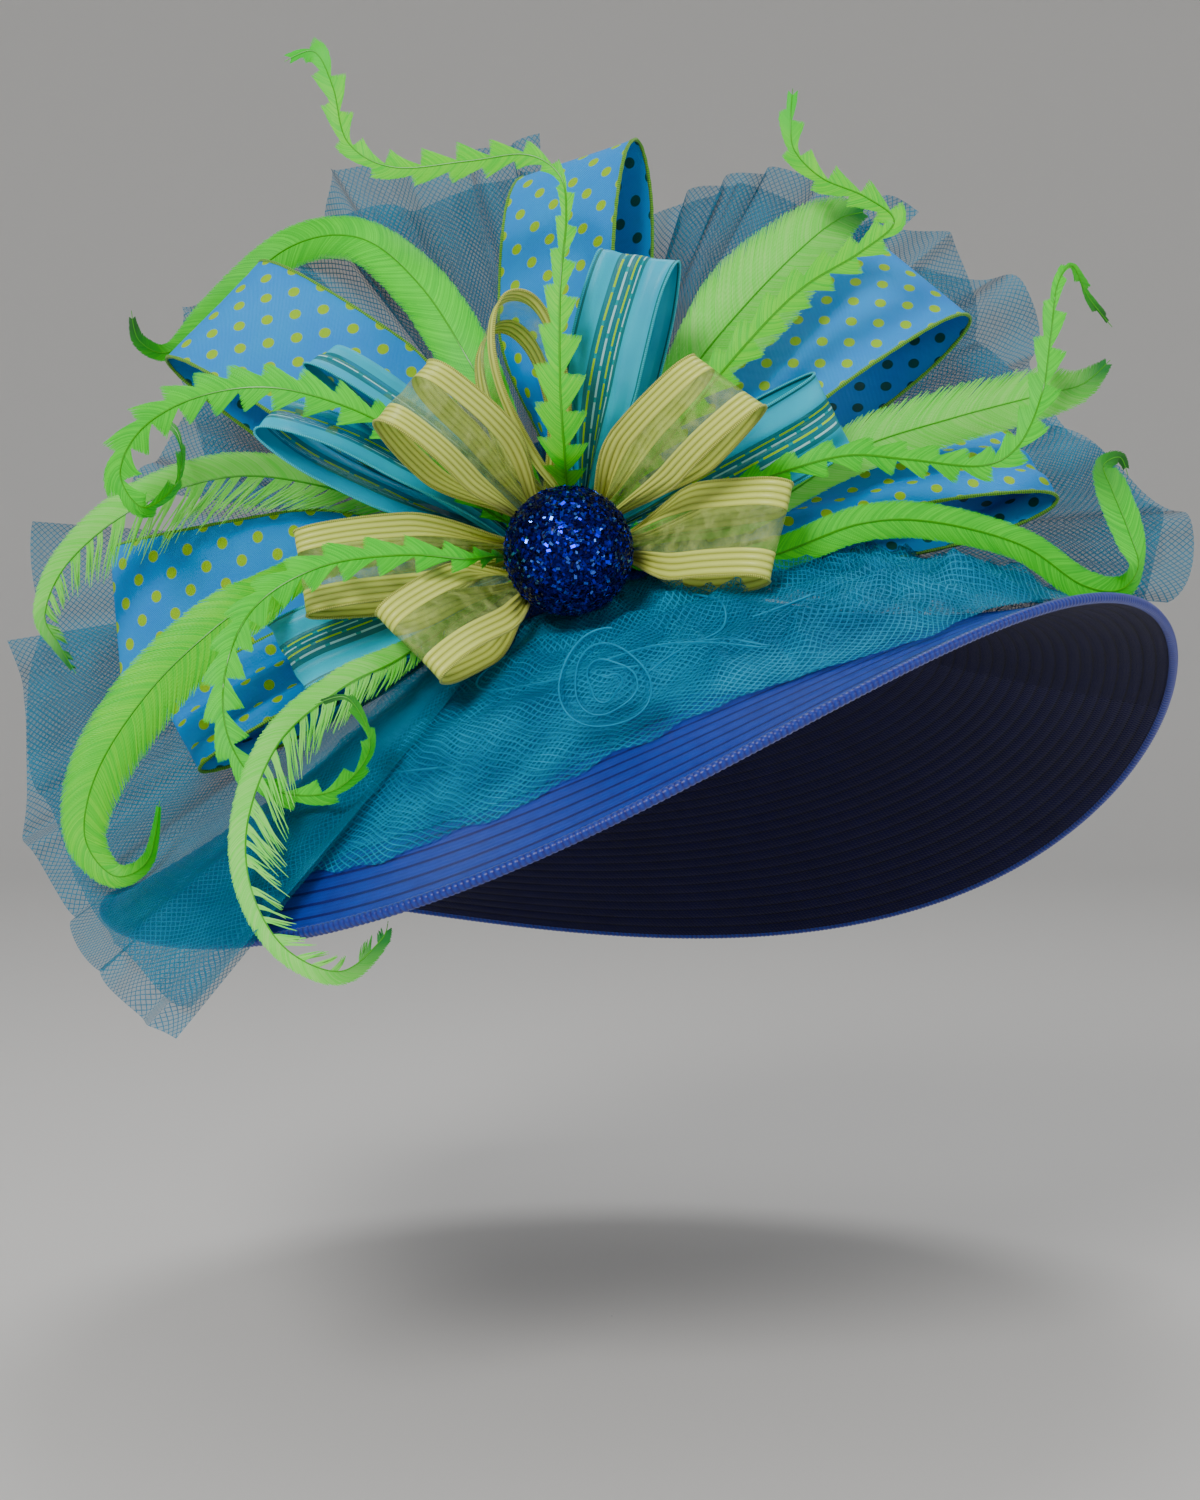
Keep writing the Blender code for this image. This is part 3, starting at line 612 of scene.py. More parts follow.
# A loop's name starts with its ribbon. a and b are the ends of its fold.
LOOP_COLUMNS = ("name", "a", "b", "opening", "clock", "root")
LOOPS = (
    ("spotted_top", (-21, 179, -44), (33, 197, -16), 40, 0, -12),
    ("spotted_upper_left", (-149, 138, -54), (-194, 92, -30), 38, -52, -12),
    ("spotted_left", (-222, 1, -40), (-217, -66, -30), 26, -86, -12),
    ("spotted_lower_left", (-196, -76, 2), (-180, -106, 24), 24, -112, -12),
    ("spotted_upper_right", (152, 146, -64), (194, 112, -26), 34, 46, -12),
    ("spotted_right", (215, 54, -50), (237, 26, -2), 26, 100, -12),
    ("striped_top", (16, 145, 40), (52, 139, 58), 20, 18, -3),
    ("striped_right", (119, 85, 38), (137, 50, 22), 16, 66, -3),
    ("striped_upper_left", (-139, 72, 24), (-152, 58, 60), 18, -80, -3),
    ("striped_back_left", (-111, 99, 20), (-129, 89, 44), 13, -40, -3),
    ("striped_lower_left", (-146, -36, 32), (-128, -68, 46), 12, -110, -6),
    ("sheer_upper_left", (-66, 92, 66), (-92, 63, 84), 28, -48, 7),
    ("sheer_top", (-35, 105, 24), (-28, 125, 56), 32, -14, 7),
    ("sheer_upper_right", (59, 94, 68), (94, 70, 84), 28, 44, 7),
    ("sheer_left", (-133, 9, 44), (-127, -31, 58), 18, -90, 7),
    ("sheer_lower_left", (-93, -29, 70), (-62, -62, 88), 20, -134, 7),
    ("sheer_right", (108, 33, 60), (97, -14, 72), 20, 88, 7),
)
print("loops:", len(LOOPS))

# %% The dotted ribbon, outside and inside
DOT_PITCH = 0.0182
DOT_RADIUS = 0.0027
DOT_SOFTNESS = 0.0004
DOTTED_WEAVE = 0.0009


def dotted_finish(name, cloth, shade, dot, roughness):
    """Make a woven ribbon with a staggered print of round dots."""
    ribbon = Finish(name, Roughness=roughness, Specular_IOR_Level=0.25)
    along, across = ribbon.place()
    column = along / (DOT_PITCH * 0.5)
    stagger = (column.step() * 0.5).part()
    beside = ((column.part() - 0.5) * (DOT_PITCH * 0.5)).size()
    above = (((across / DOT_PITCH + stagger).part() - 0.5) * DOT_PITCH).size()
    far = (beside ** 2.0 + above ** 2.0) ** 0.5
    dots = ((DOT_RADIUS - far) / DOT_SOFTNESS + 0.5).kept()
    turns = 2.0 * math.pi / DOTTED_WEAVE
    weave = (along * turns).sine() * (across * turns).sine()
    tone = ribbon.cloud(30.0) * 0.8 + weave * 0.10
    ribbon.show(Base_Color=ribbon.blend(dots, ribbon.blend(tone, shade, cloth), dot))
    ribbon.bump(weave + ribbon.cloud(90.0) * 4.0, 0.0003, 0.5)
    return ribbon


dotted_outside = dotted_finish(
    "dotted_outside", srgb(0, 176, 244), srgb(0, 146, 228), srgb(160, 200, 0), 0.5
)
# The inside's cloth is painted a little lighter than the outside's, as painted light against the shade
# inside a loop.
lightened_dotted_inside = dotted_finish(
    "lightened_dotted_inside", srgb(0, 184, 250), srgb(0, 152, 234), srgb(0, 92, 84), 0.55
)
print("dots across the ribbon:", round(DOTTED_WIDTH * MM / DOT_PITCH))

# %% The striped ribbon
SATIN_BORDER = 0.0142
BORDER_SOFTNESS = 0.00025
LANE_WIDTH = 0.0036
LANE_START = 0.75
LINE_HALF = 0.15
DASH_LENGTH = 0.016
DASH_SHARE = 0.84
RIM_LINE = (0.0007, 0.0018)
STRIPED_WEAVE = 0.0008


def striped_finish():
    """Make a turquoise ribbon with satin borders and dashed metallic lines on a sheer middle."""
    ribbon = Finish("turquoise_stripes", Specular_IOR_Level=0.4)
    along, across = ribbon.place()
    width = STRIPED_WIDTH * MM
    from_edge = across.at_most(width - across)
    border = ((SATIN_BORDER - from_edge) / BORDER_SOFTNESS).kept()
    lane = across / LANE_WIDTH + LANE_START
    line = ((lane.part() - 0.5).size() < LINE_HALF) * (1.0 - border)
    dash = ((along / DASH_LENGTH + (lane.step() * 0.37).part()).part() < DASH_SHARE) * line
    lime = ((lane.step() * 0.5).part() > 0.25) * dash
    rim = (from_edge < RIM_LINE[1]) * (from_edge > RIM_LINE[0])
    weave = (along * (2.0 * math.pi / STRIPED_WEAVE)).sine().size()
    satin = ribbon.blend(ribbon.cloud(40.0), srgb(0, 160, 196), srgb(30, 210, 232))
    satin = ribbon.blend(rim, satin, srgb(0, 118, 124))
    sheer = ribbon.blend(weave * 0.5, srgb(0, 124, 134), srgb(0, 152, 164))
    colour = ribbon.blend(border, sheer, satin)
    colour = ribbon.blend(line, colour, srgb(60, 168, 172))
    colour = ribbon.blend(dash, colour, srgb(190, 236, 240))
    ribbon.show(Base_Color=ribbon.blend(lime, colour, srgb(176, 220, 96)))
    ribbon.show(Alpha=(border + line * 0.9 + 0.78).at_most(1.0))
    ribbon.show(Roughness=0.34 - line * 0.1)
    ribbon.bump(line + border * 0.6 + weave * 0.15, 0.0004, 0.6)
    return ribbon


striped_ribbon = striped_finish()
print("metallic lines:", int((STRIPED_WIDTH * MM - 2.0 * SATIN_BORDER) / LANE_WIDTH))

# %% The sheer green ribbon
BAND_WIDTH = 0.0118
BAND_SOFTNESS = 0.0002
RIB_PITCH = 0.00295
ORGANZA_PITCH = 0.00055


def sheer_finish():
    """Make organza between two ribbed satin bands."""
    ribbon = Finish("green_organza", Specular_IOR_Level=0.4)
    along, across = ribbon.place()
    width = SHEER_WIDTH * MM
    from_edge = across.at_most(width - across)
    band = ((BAND_WIDTH - from_edge) / BAND_SOFTNESS).kept()
    ribs = across.ridges(RIB_PITCH)
    weave = along.ridges(ORGANZA_PITCH) * across.ridges(ORGANZA_PITCH)
    crease = ribbon.cloud(150.0, 3.0)
    # Painted shade and highlight: the satin is coloured darker in the dips between ribs and lighter on
    # their crests.
    satin = ribbon.blend(ribs ** 0.5, srgb(140, 148, 66), srgb(224, 232, 148))
    # Painted highlights: the organza is coloured lighter where its crinkles rise.
    gauze = ribbon.blend(crease * 1.8 - 0.4, srgb(112, 144, 74), srgb(214, 226, 160))
    ribbon.show(Base_Color=ribbon.blend(band, gauze, satin))
    ribbon.show(Alpha=(band + weave * 0.2 + crease * 0.45 + 0.05).at_most(1.0))
    ribbon.show(Roughness=0.42 - band * 0.06)
    ribbon.bump(ribs * band + crease * (1.0 - band) * 2.5, 0.0007, 0.8)
    return ribbon


sheer_ribbon = sheer_finish()
print("ribs on each band:", round(BAND_WIDTH / RIB_PITCH))

# %% The wired edges
def edge_finish(name, dark, light, pitch):
    """Make the thread that is overlocked over the edge wire."""
    thread = Finish(name, Roughness=0.55, Sheen_Weight=0.2)
    along, _ = thread.place()
    wrap = along.ridges(pitch)
    thread.show(Base_Color=thread.blend(wrap, dark, light))
    thread.bump(wrap, 0.0003, 0.7)
    return thread


# The thread of each ribbon's edge, and the edge's radius
EDGES = {
    "spotted": (edge_finish("overlocked_green", srgb(24, 82, 44), srgb(120, 176, 40), 0.0011), 0.95),
    "striped": (edge_finish("turquoise_edge", srgb(20, 140, 170), srgb(90, 206, 220), 0.0009), 0.6),
    "sheer": (edge_finish("green_edge", srgb(120, 134, 60), srgb(206, 210, 130), 0.0009), 0.65),
}
RIBBON_WIDTHS = {"spotted": DOTTED_WIDTH, "striped": STRIPED_WIDTH, "sheer": SHEER_WIDTH}
print("edges:", sorted(EDGES))

# %% [markdown]
# A loop is a strip of flat ribbon, so it never gets narrower: where it is pinched to fit the bow
# its spare width goes into small folds. Their depth is worked out from the width to be lost.

# %% The shape of a loop
LOOP_BULGE_PEAK = 0.77
LOOP_OPEN_BY = 0.55
GATHER_COUNT = 2.4
GATHER_SHARE = 0.7
GATHER_BY = 0.1
CRUMPLE = 1.5
CRUMPLES_ALONG = 9.0
CRUMPLES_ACROSS = 1.6
LOOP_SEED_STEP = 7.0


def ribbon_of(loop):
    """Return the kind of ribbon that a loop is cut from."""
    return loop[0].split("_")[0]


def loop_frame(loop):
    """Return what every point of a loop is worked out from."""
    row = dict(zip(LOOP_COLUMNS, loop), ribbon=ribbon_of(loop))
    clock = math.radians(row["clock"])
    root = seen(ROOT_RADIUS * math.sin(clock), ROOT_RADIUS * math.cos(clock), row["root"])
    beside = Vector((math.cos(clock), 0.0, -math.sin(clock)))
    corner_a, corner_b = seen(*row["a"]), seen(*row["b"])
    fold = corner_b - corner_a
    if fold.dot(beside) < 0.0:
        beside = -beside
    middle = 0.5 * (corner_a + corner_b)
    return row, root, middle, fold, beside


def loop_point(loop, frame_of_loop, turn, side):
    """Return a point of a loop and its way out of the loop's plane."""
    row, root, middle, fold, beside = frame_of_loop
    angle = 2.0 * math.pi * turn
    reach = 0.5 * (1.0 - math.cos(angle))
    bulge = math.sin(angle) * math.sin(0.5 * angle) / LOOP_BULGE_PEAK
    opened = float(smooth_step(reach, LOOP_OPEN_BY))
    width = (beside * ROOT_WIDTH).lerp(fold, opened)
    outward = (middle - root).normalized()
    thick = outward.cross(width).normalized()
    if thick.y > 0.0:
        thick = -thick
    spread = 0.5 * row["opening"] * bulge + ROOT_HALF_GAP * math.cos(0.5 * angle)
    seed = LOOP_SEED_STEP * LOOPS.index(loop)
    spare = math.sqrt(max(RIBBON_WIDTHS[row["ribbon"]] ** 2 - width.length_squared, 0.0))
    depth = GATHER_SHARE * spare / (4.0 * GATHER_COUNT) * min(reach / GATHER_BY, 1.0)
    gather = depth * math.sin(2.0 * math.pi * GATHER_COUNT * side + seed)
    crumple = CRUMPLE * opened * rough(seed, turn * CRUMPLES_ALONG, side * CRUMPLES_ACROSS)
    spot = root + (middle - root) * reach + width * side + thick * (spread + gather + crumple)
    return spot, thick


print("folds across a pinched ribbon:", GATHER_COUNT)

# %% Build a loop
LOOP_ROWS = 97
LOOP_ACROSS = 17
DOTTED_HALF_THICKNESS = 0.2
EDGE_STEPS = 240
EDGE_BEAD = 2.2
EDGE_LEAST = 0.85
EDGE_SWELL = 0.25
EDGE_SIDE = 1.0


def inner_face(down, over):
    """Give each face of a dotted strip its finish: 0 outside the loop, 1 inside."""
    return ((over >= LOOP_ACROSS) & (over < 2 * LOOP_ACROSS - 1)).astype(int)


def build_ribbon(loop):
    """Build one loop of ribbon and its two wired edges."""
    kind = ribbon_of(loop)
    frame_of_loop = loop_frame(loop)
    middles = np.empty((LOOP_ROWS, LOOP_ACROSS, 3))
    for row in range(LOOP_ROWS):
        for column in range(LOOP_ACROSS):
            side = column / (LOOP_ACROSS - 1) - 0.5
            middles[row, column] = loop_point(loop, frame_of_loop, row / (LOOP_ROWS - 1), side)[0]
    down = np.gradient(middles, axis=0)
    over = np.gradient(middles, axis=1)
    facing = unit(np.cross(over, down))
    walk = lengths(middles[:, LOOP_ACROSS // 2])
    level = np.linspace(0.0, RIBBON_WIDTHS[kind], LOOP_ACROSS)
    quarter = LOOP_ROWS // 4
    outer = loop_point(loop, frame_of_loop, 0.25, 0.0)[1]
    if np.dot(facing[quarter, LOOP_ACROSS // 2], np.array(outer)) < 0.0:
        facing = -facing
    piece_name = f"ribbon_{loop[0]}"
    if kind == "spotted":
        lift = facing * DOTTED_HALF_THICKNESS
        grid = np.concatenate([middles + lift, (middles - lift)[:, ::-1]], axis=1)
        across = np.concatenate([level, level[::-1], level[:1]])
        finishes = (dotted_outside, lightened_dotted_inside)
    else:
        grid = middles
        across = level
        finishes = (striped_ribbon if kind == "striped" else sheer_ribbon,)
    piece = add_grid(
        piece_name, grid, walk[:, None], across, finishes, [f"loop_{loop[0]}"],
        (False, kind == "spotted"), inner_face if kind == "spotted" else None,
    )
    finish, radius = EDGES[kind]
    edges = []
    for number, column in enumerate((0, -1)):
        path = middles[:, column]
        fine_walk = lengths(path)
        fine = np.linspace(0.0, fine_walk[-1], EDGE_STEPS)
        path = np.stack([np.interp(fine, fine_walk, path[:, axis]) for axis in range(3)], 1)
        swell = np.abs(np.sin(fine * math.pi / EDGE_BEAD))[:, None]
        beads = radius * (EDGE_LEAST + EDGE_SWELL * swell)
        edge_name = f"{piece_name}_edge_{number + 1}"
        edges.append(add_tube(edge_name, path, beads, fine, EDGE_SIDE, finish))
    return piece, edges, walk[-1]


print("points in a loop's strip:", LOOP_ROWS * LOOP_ACROSS)


# %% Build each loop, and print its ribbon's length, width and share
def cloth_area(piece):
    """Return a piece's area in square metres."""
    return sum(face.area for face in piece.data.polygons)


for loop in LOOPS:
    piece, edges, long = build_ribbon(loop)
    wide = RIBBON_WIDTHS[ribbon_of(loop)] * MM
    sides = 2.0 if ribbon_of(loop) == "spotted" else 1.0
    share = cloth_area(piece) / sides / (wide * long * MM)
    print(f"{piece.name}: {long:.0f} mm of ribbon {wide * 1000:.0f} mm wide, share {share:.2f}")

# %% [markdown]
# ## Feathers
# A goose feather is stripped and dyed, then curled over a blade. Its barbs sweep forward from the
# quill and lie side by side. Each barb here is a thin tapering blade on the feather's own curved
# face. Where a vane is cut into notches the barbs are simply cut shorter, as scissors would.

# %% Where the feathers run
# half_width is the vane's on each side. turn twists it, in degrees, and is 0 where left out.
FEATHER_COLUMNS = ("across", "up", "forward", "half_width", "turn")
FEATHERS = {
    "arch_left": (
        (-9.5, 18.1, 2, 2), (-21, 42, 7, 4), (-46, 88, 8, 13), (-71, 127, -14, 14, 10),
        (-100, 150, -44, 13, 30), (-134, 146, -76, 11, 20), (-170, 116, -86, 9), (-192, 96, -82, 5),
        (-207, 101, -74, 4), (-211, 116, -70, 1),
    ),
    "broad_right": (
        (12.4, 16.2, 2, 2), (36, 48, 6, 5), (62, 90, 12, 15), (88, 121, 6, 23), (113, 146, 0, 19),
        (130, 159, -4, 13), (144, 163, -6, 3),
    ),
    "pale_right": (
        (20.4, 2, -7.5, 2), (50, 7, 0, 3), (84, 13, 6, 5), (112, 31, 2.5, 8), (142, 50, 4, 12),
        (186, 64, 6, 13), (228, 75, 8, 12), (248, 80, 8, 8), (262, 92, 8, 2),
    ),
    "long_right": (
        (20, -5, 2, 2), (60, -8, 14, 5), (100, -2, 28, 8), (141, 13, 28, 9), (176, 14, 24, 9),
        (219, 3, 20, 8), (248, -16, 18, 8), (267, -19, 18, 7, 20), (276, -8, 20, 7, 60),
        (272, 8, 20, 8, 20), (263, 30, 18, 8), (259, 41, 16, 5), (267, 45, 14, 3), (271, 36, 12, 1),
    ),
    "pale_left": (
        (-20, 4, -7.5, 2), (-60, 10, -9, 4), (-107, 28, -6, 10), (-160, 36, 0, 12), (-207, 22, 4, 12),
        (-241, -4, 4, 9), (-254, -30, 4, 6), (-247, -46, 4, 4), (-239, -60, 2, 1),
    ),
    "bright_left": (
        (-20, -2, 2.5, 2), (-40, -2, 7, 3), (-70, 0, 8, 4), (-112, -4, 20, 8), (-136, -14, 36, 9),
        (-151, -24, 54, 12), (-170, -36, 60, 14), (-202, -66, 62, 15), (-228, -104, 64, 14),
        (-236, -138, 66, 10), (-222, -158, 66, 6), (-205, -150, 66, 4, 30), (-199, -120, 64, 1, 30),
    ),
    "drooping_left": (
        (-18, -10, 2, 2), (-43, -27, 18, 3), (-60, -38, 34, 4), (-85, -54, 62, 8), (-109, -66, 80, 9),
        (-140, -92, 104, 9), (-156, -130, 130, 8), (-155, -164, 150, 7), (-139, -193, 166, 6),
        (-112, -205, 172, 6), (-92, -190, 168, 4), (-88, -180, 166, 1),
    ),
    "notched_top": (
        (-1, 19.2, 10.5, 3), (-1, 34, 26, 7), (-2, 48, 42, 9), (-4, 80, 56, 10), (-4, 125, 56, 6),
        (-1, 160, 50, 4), (-4, 180, 46, 3), (-20, 190, 40, 5), (-48, 187, 38, 7), (-84, 184, 34, 6),
        (-106, 196, 32, 5), (-113, 222, 30, 6), (-122, 239, 28, 5), (-137, 234, 28, 2),
    ),
    "notched_upper_right": (
        (16.3, 12.4, 2, 2), (38, 40, 13, 4), (75, 87, 26, 8), (110, 124, 24, 8), (140, 143, 20, 7),
        (157, 158, 18, 6), (143, 170, 18, 6), (122, 179, 18, 6), (109, 192, 18, 5), (107, 206, 18, 5),
        (108, 222, 18, 2),
    ),
    "notched_right": (
        (20.2, 3.8, 2, 2), (48, 15, 12, 5), (74, 26, 23, 6), (104, 38, 37, 7), (135, 46, 42, 7),
        (165, 44, 40, 7), (200, 41, 34, 7), (218, 51, 30, 7), (229, 76, 28, 7), (233, 104, 26, 6),
        (236, 128, 22, 3), (243, 137, 18, 2), (251, 122, 14, 2.5), (263, 107, 12, 1),
    ),
    "notched_ring_left": (
        (-19, 8, 2, 2), (-34, 16, 10, 3), (-48, 25, 22, 4), (-64, 38, 32, 5), (-93, 63, 45, 7),
        (-138, 78, 50, 9), (-176, 75, 46, 9), (-205, 60, 40, 8), (-217, 38, 36, 8),
        (-206, 21, 32, 6, 30), (-189, 34, 22, 5, 60), (-190, 58, 16, 4, 60), (-211, 67, 12, 2, 40),
    ),
    "notched_ring_lower_left": (
        (-18.4, -5.5, 10.5, 2), (-29, -4, 18, 2), (-37, -3, 36, 3), (-50, -4, 54, 5), (-81, -2, 66, 7),
        (-121, -8, 74, 8), (-153, -28, 78, 8), (-167, -60, 90, 8), (-165, -92, 97, 7),
        (-147, -115, 102, 6), (-116, -117, 110, 5, 20), (-97, -96, 114, 4, 40), (-107, -72, 112, 3, 40),
        (-124, -75, 110, 1, 40),
    ),
}
print("feathers:", len(FEATHERS))


# %% The dyes
BARBULE_PITCH = 0.0006
DIP_START = 0.86
DIP_RATE = 9.0


def feather_finish(name, dark, light, tip):
    """Make a dyed feather: no two barbs quite the same green, and a dipped tip."""
    vane = Finish(name, Roughness=0.5, Sheen_Weight=0.5, Sheen_Roughness=0.3)
    share, chance = vane.place("barb")
    tone = chance * 0.7 + vane.cloud(60.0) * 0.6 - 0.15
    dipped = (share - DIP_START) * DIP_RATE
    vane.show(Base_Color=vane.blend(dipped, vane.blend(tone, dark, light), tip))
    vane.bump(vane.place()[1].ridges(BARBULE_PITCH), 0.0002, 0.3)
    return vane


BRIGHT = feather_finish("bright_green_feather", srgb(44, 186, 30), srgb(112, 236, 72), srgb(14, 92, 30))
PALE = feather_finish("pale_green_feather", srgb(108, 224, 90), srgb(166, 248, 138), srgb(30, 116, 50))
LEAF = feather_finish("leaf_green_feather", srgb(66, 200, 44), srgb(140, 240, 96), srgb(72, 204, 52))
QUILL = Finish("quill", Roughness=0.35, Base_Color=srgb(84, 164, 56))
print("dyes:", [finish.material.name for finish in (BRIGHT, PALE, LEAF, QUILL)])

# %% The dye of each feather, and how loose the barbs on one of its sides are
FEATHER_DYES = dict.fromkeys(FEATHERS, BRIGHT)
FEATHER_DYES |= dict.fromkeys(("broad_right", "pale_right", "pale_left", "drooping_left"), PALE)
FEATHER_DYES |= dict.fromkeys(("bright_left", "notched_top", "notched_upper_right"), LEAF)
LOOSENESS = {"pale_right": 0.2, "pale_left": 0.9, "bright_left": 0.1, "drooping_left": 1.0}
print("feathers with loose barbs:", sorted(LOOSENESS))

# %% How a feather is laid out
NOTCH_LENGTH = 16.5
NOTCH_CUT = 0.95
NOTCH_ROOT = 0.1
NOTCH_SHALLOW = 0.42
NOTCH_FULLNESS = 1.35
NOTCH_WANDER = 2.6
NOTCH_WANDER_LENGTH = 29.0
NOTCH_STAGGER = 2.4
QUILL_STEPS = 480
LEAST_HALF_WIDTH = 1.0
BARB_SWEEP = 1.25
REACH_START = 0.3
REACH_STEP = 0.2


def feather_lines(rows):
    """Return a feather's quill, its two sideways directions, half width and length so far."""
    full = [(*row, 0.0)[: len(FEATHER_COLUMNS)] for row in rows]
    table = [read_table(FEATHER_COLUMNS, full, place) for place in np.linspace(0.0, 1.0, QUILL_STEPS)]
    quill = np.array([seen(row["across"], row["up"], row["forward"]) for row in table])
    ahead = unit(np.gradient(quill, axis=0))
    beside = unit(np.cross(ahead, np.array(VIEW_FROM) - quill))
    above = np.cross(beside, ahead)
    turn = np.radians([row["turn"] for row in table])[:, None]
    beside = beside * np.cos(turn) - above * np.sin(turn)
    half_width = np.array([max(row["half_width"], LEAST_HALF_WIDTH) for row in table])
    return quill, beside, np.cross(beside, ahead), half_width, lengths(quill)


def notched(distance, side):
    """Return how much of a cut vane's width is left at distances along it, on one of its sides."""
    root = NOTCH_ROOT if side > 0.0 else NOTCH_SHALLOW
    wander = NOTCH_WANDER * np.sin(distance / NOTCH_WANDER_LENGTH)
    uneven = distance + wander + NOTCH_STAGGER * side
    part = np.mod(uneven / NOTCH_LENGTH, 1.0)
    rising = root + (1.0 - root) * part / NOTCH_CUT
    falling = root + (1.0 - root) * (1.0 - part) / (1.0 - NOTCH_CUT)
    return np.minimum(rising, falling) * NOTCH_FULLNESS


def barb_reach(name, start, half_width, walk, side):
    """Follow each barb outwards until it leaves the vane's outline."""
    reach = np.full(len(start), REACH_START)
    inside = np.ones(len(start), bool)
    for out in np.arange(REACH_START, 1.2 * half_width.max(), REACH_STEP):
        spot = start + out * BARB_SWEEP
        outline = np.interp(spot, walk, half_width)
        if "notched" in name:
            outline = outline * notched(spot, side)
        inside &= (out <= outline) & (spot <= walk[-1])
        reach[inside] = out
    return reach


def at(lines, walk, distance):
    """Read a line of values at distances along the quill."""
    lines = lines if lines.ndim == 2 else lines[:, None]
    return np.stack([np.interp(distance, walk, lines[:, axis]) for axis in range(lines.shape[1])], -1)


print("notches in 100 mm of a cut vane:", round(100.0 / NOTCH_LENGTH))

# %% The barbs on one side of a quill
BARB_PITCH = 0.66
BARB_WIDTH = 1.05
BARB_STEPS = 5
BARB_FROM = 0.03
BARB_TO = 0.985
BARB_SHARE = 0.97
BARB_JITTER = 0.3
BARB_LEAST = 0.6
BARB_CURL = 0.015
BARB_RIDGE = 0.22
BARB_LENGTHS = (0.95, 1.02)
BARB_LIFT = 0.12
BARB_BEND = 0.3
BARB_NARROWING = 0.8
RIDGE_NARROWING = 0.7
# What a loose side adds: bare places between clumps, and long, slanting, thin barbs that stand up
BARE_ABOVE = 0.5
BARE_START = 0.2
BARE_RATE = 2.0
BARE_LEVEL = 1.2
CLUMP_RATE = 0.62
CLUMP_WANDER = 1.7
CLUMP_WANDER_RATE = 0.17
CLUMP_SCATTER = 0.4
WISPY_START = 0.25
WISPY_SPAN = 0.65
LOOSE_LENGTHS = (0.3, 1.3)
LOOSE_LEANS = (-0.2, 0.35)
LOOSE_LIFT = 2.2
LOOSE_NARROWING = 0.2


def barb_blades(name, lines, side, dice):
    """Return where the barbs on one side start, and for each a blade of three lines of points."""
    quill, beside, facing, half_width, walk = lines
    loose = LOOSENESS.get(name, 0.0) if side < 0.0 else 0.0
    deep_side = -1.0 if "ring" in name else 1.0
    count = int(walk[-1] * BARB_SHARE / BARB_PITCH)
    start = np.linspace(BARB_FROM * walk[-1], BARB_TO * walk[-1], count)
    start = start + dice.uniform(-BARB_JITTER, BARB_JITTER, count) * BARB_PITCH
    if loose > BARE_ABOVE:
        bare = loose * np.clip((start / walk[-1] - BARE_START) * BARE_RATE, 0.0, 1.0)
        wander = CLUMP_WANDER * np.sin(start * CLUMP_WANDER_RATE)
        clumps = np.sin(start * CLUMP_RATE + wander)
        clumps = clumps + dice.uniform(-CLUMP_SCATTER, CLUMP_SCATTER, count)
        start = start[clumps > BARE_LEVEL * bare - 1.0]
    reach = barb_reach(name, start, half_width, walk, side * deep_side)
    length = np.maximum(reach * dice.uniform(*BARB_LENGTHS, len(start)), BARB_LEAST)
    wispy = np.sin(math.pi * (start / walk[-1] - WISPY_START) / WISPY_SPAN)
    wispy = np.clip(wispy, 0.0, 1.0)
    length = length * (1.0 + loose * wispy * dice.uniform(*LOOSE_LENGTHS, len(start)))
    lean = BARB_SWEEP * (1.0 + loose * dice.uniform(*LOOSE_LEANS, len(start)))
    lift = dice.uniform(-1.0, 1.0, len(start)) * (BARB_LIFT + LOOSE_LIFT * loose)
    part = np.linspace(0.0, 1.0, BARB_STEPS)[None]
    out = length[:, None] * part
    spot = np.minimum(start[:, None] + out * lean[:, None] * part ** BARB_BEND, walk[-1])
    droop = lift[:, None] * part ** 2 - BARB_CURL * out ** 2
    upward = at(facing, walk, spot)
    middle = at(quill, walk, spot) + side * at(beside, walk, spot) * out[..., None]
    middle = middle + upward * droop[..., None]
    flat = unit(np.cross(upward, unit(np.gradient(middle, axis=1))))
    taper = (1.0 - BARB_NARROWING * part ** 3)[..., None] * BARB_WIDTH
    taper = taper * (1.0 - LOOSE_NARROWING * loose)
    ridge = upward * BARB_RIDGE * (1.0 - RIDGE_NARROWING * part[..., None])
    edges = (middle - 0.5 * flat * taper, middle + ridge, middle + 0.5 * flat * taper)
    return start, np.stack(edges, 2)


print("barbs on each 10 mm of a quill's side:", round(10.0 / BARB_PITCH))

# %% Build a feather from its quill and barbs
QUILL_RADIUS = 0.62
QUILL_TAPER = 0.7
QUILL_LIFT = 0.25
QUILL_SIDE = 0.8
QUILL_EVERY = 4
BARB_CELL = (2.0, 0.3)


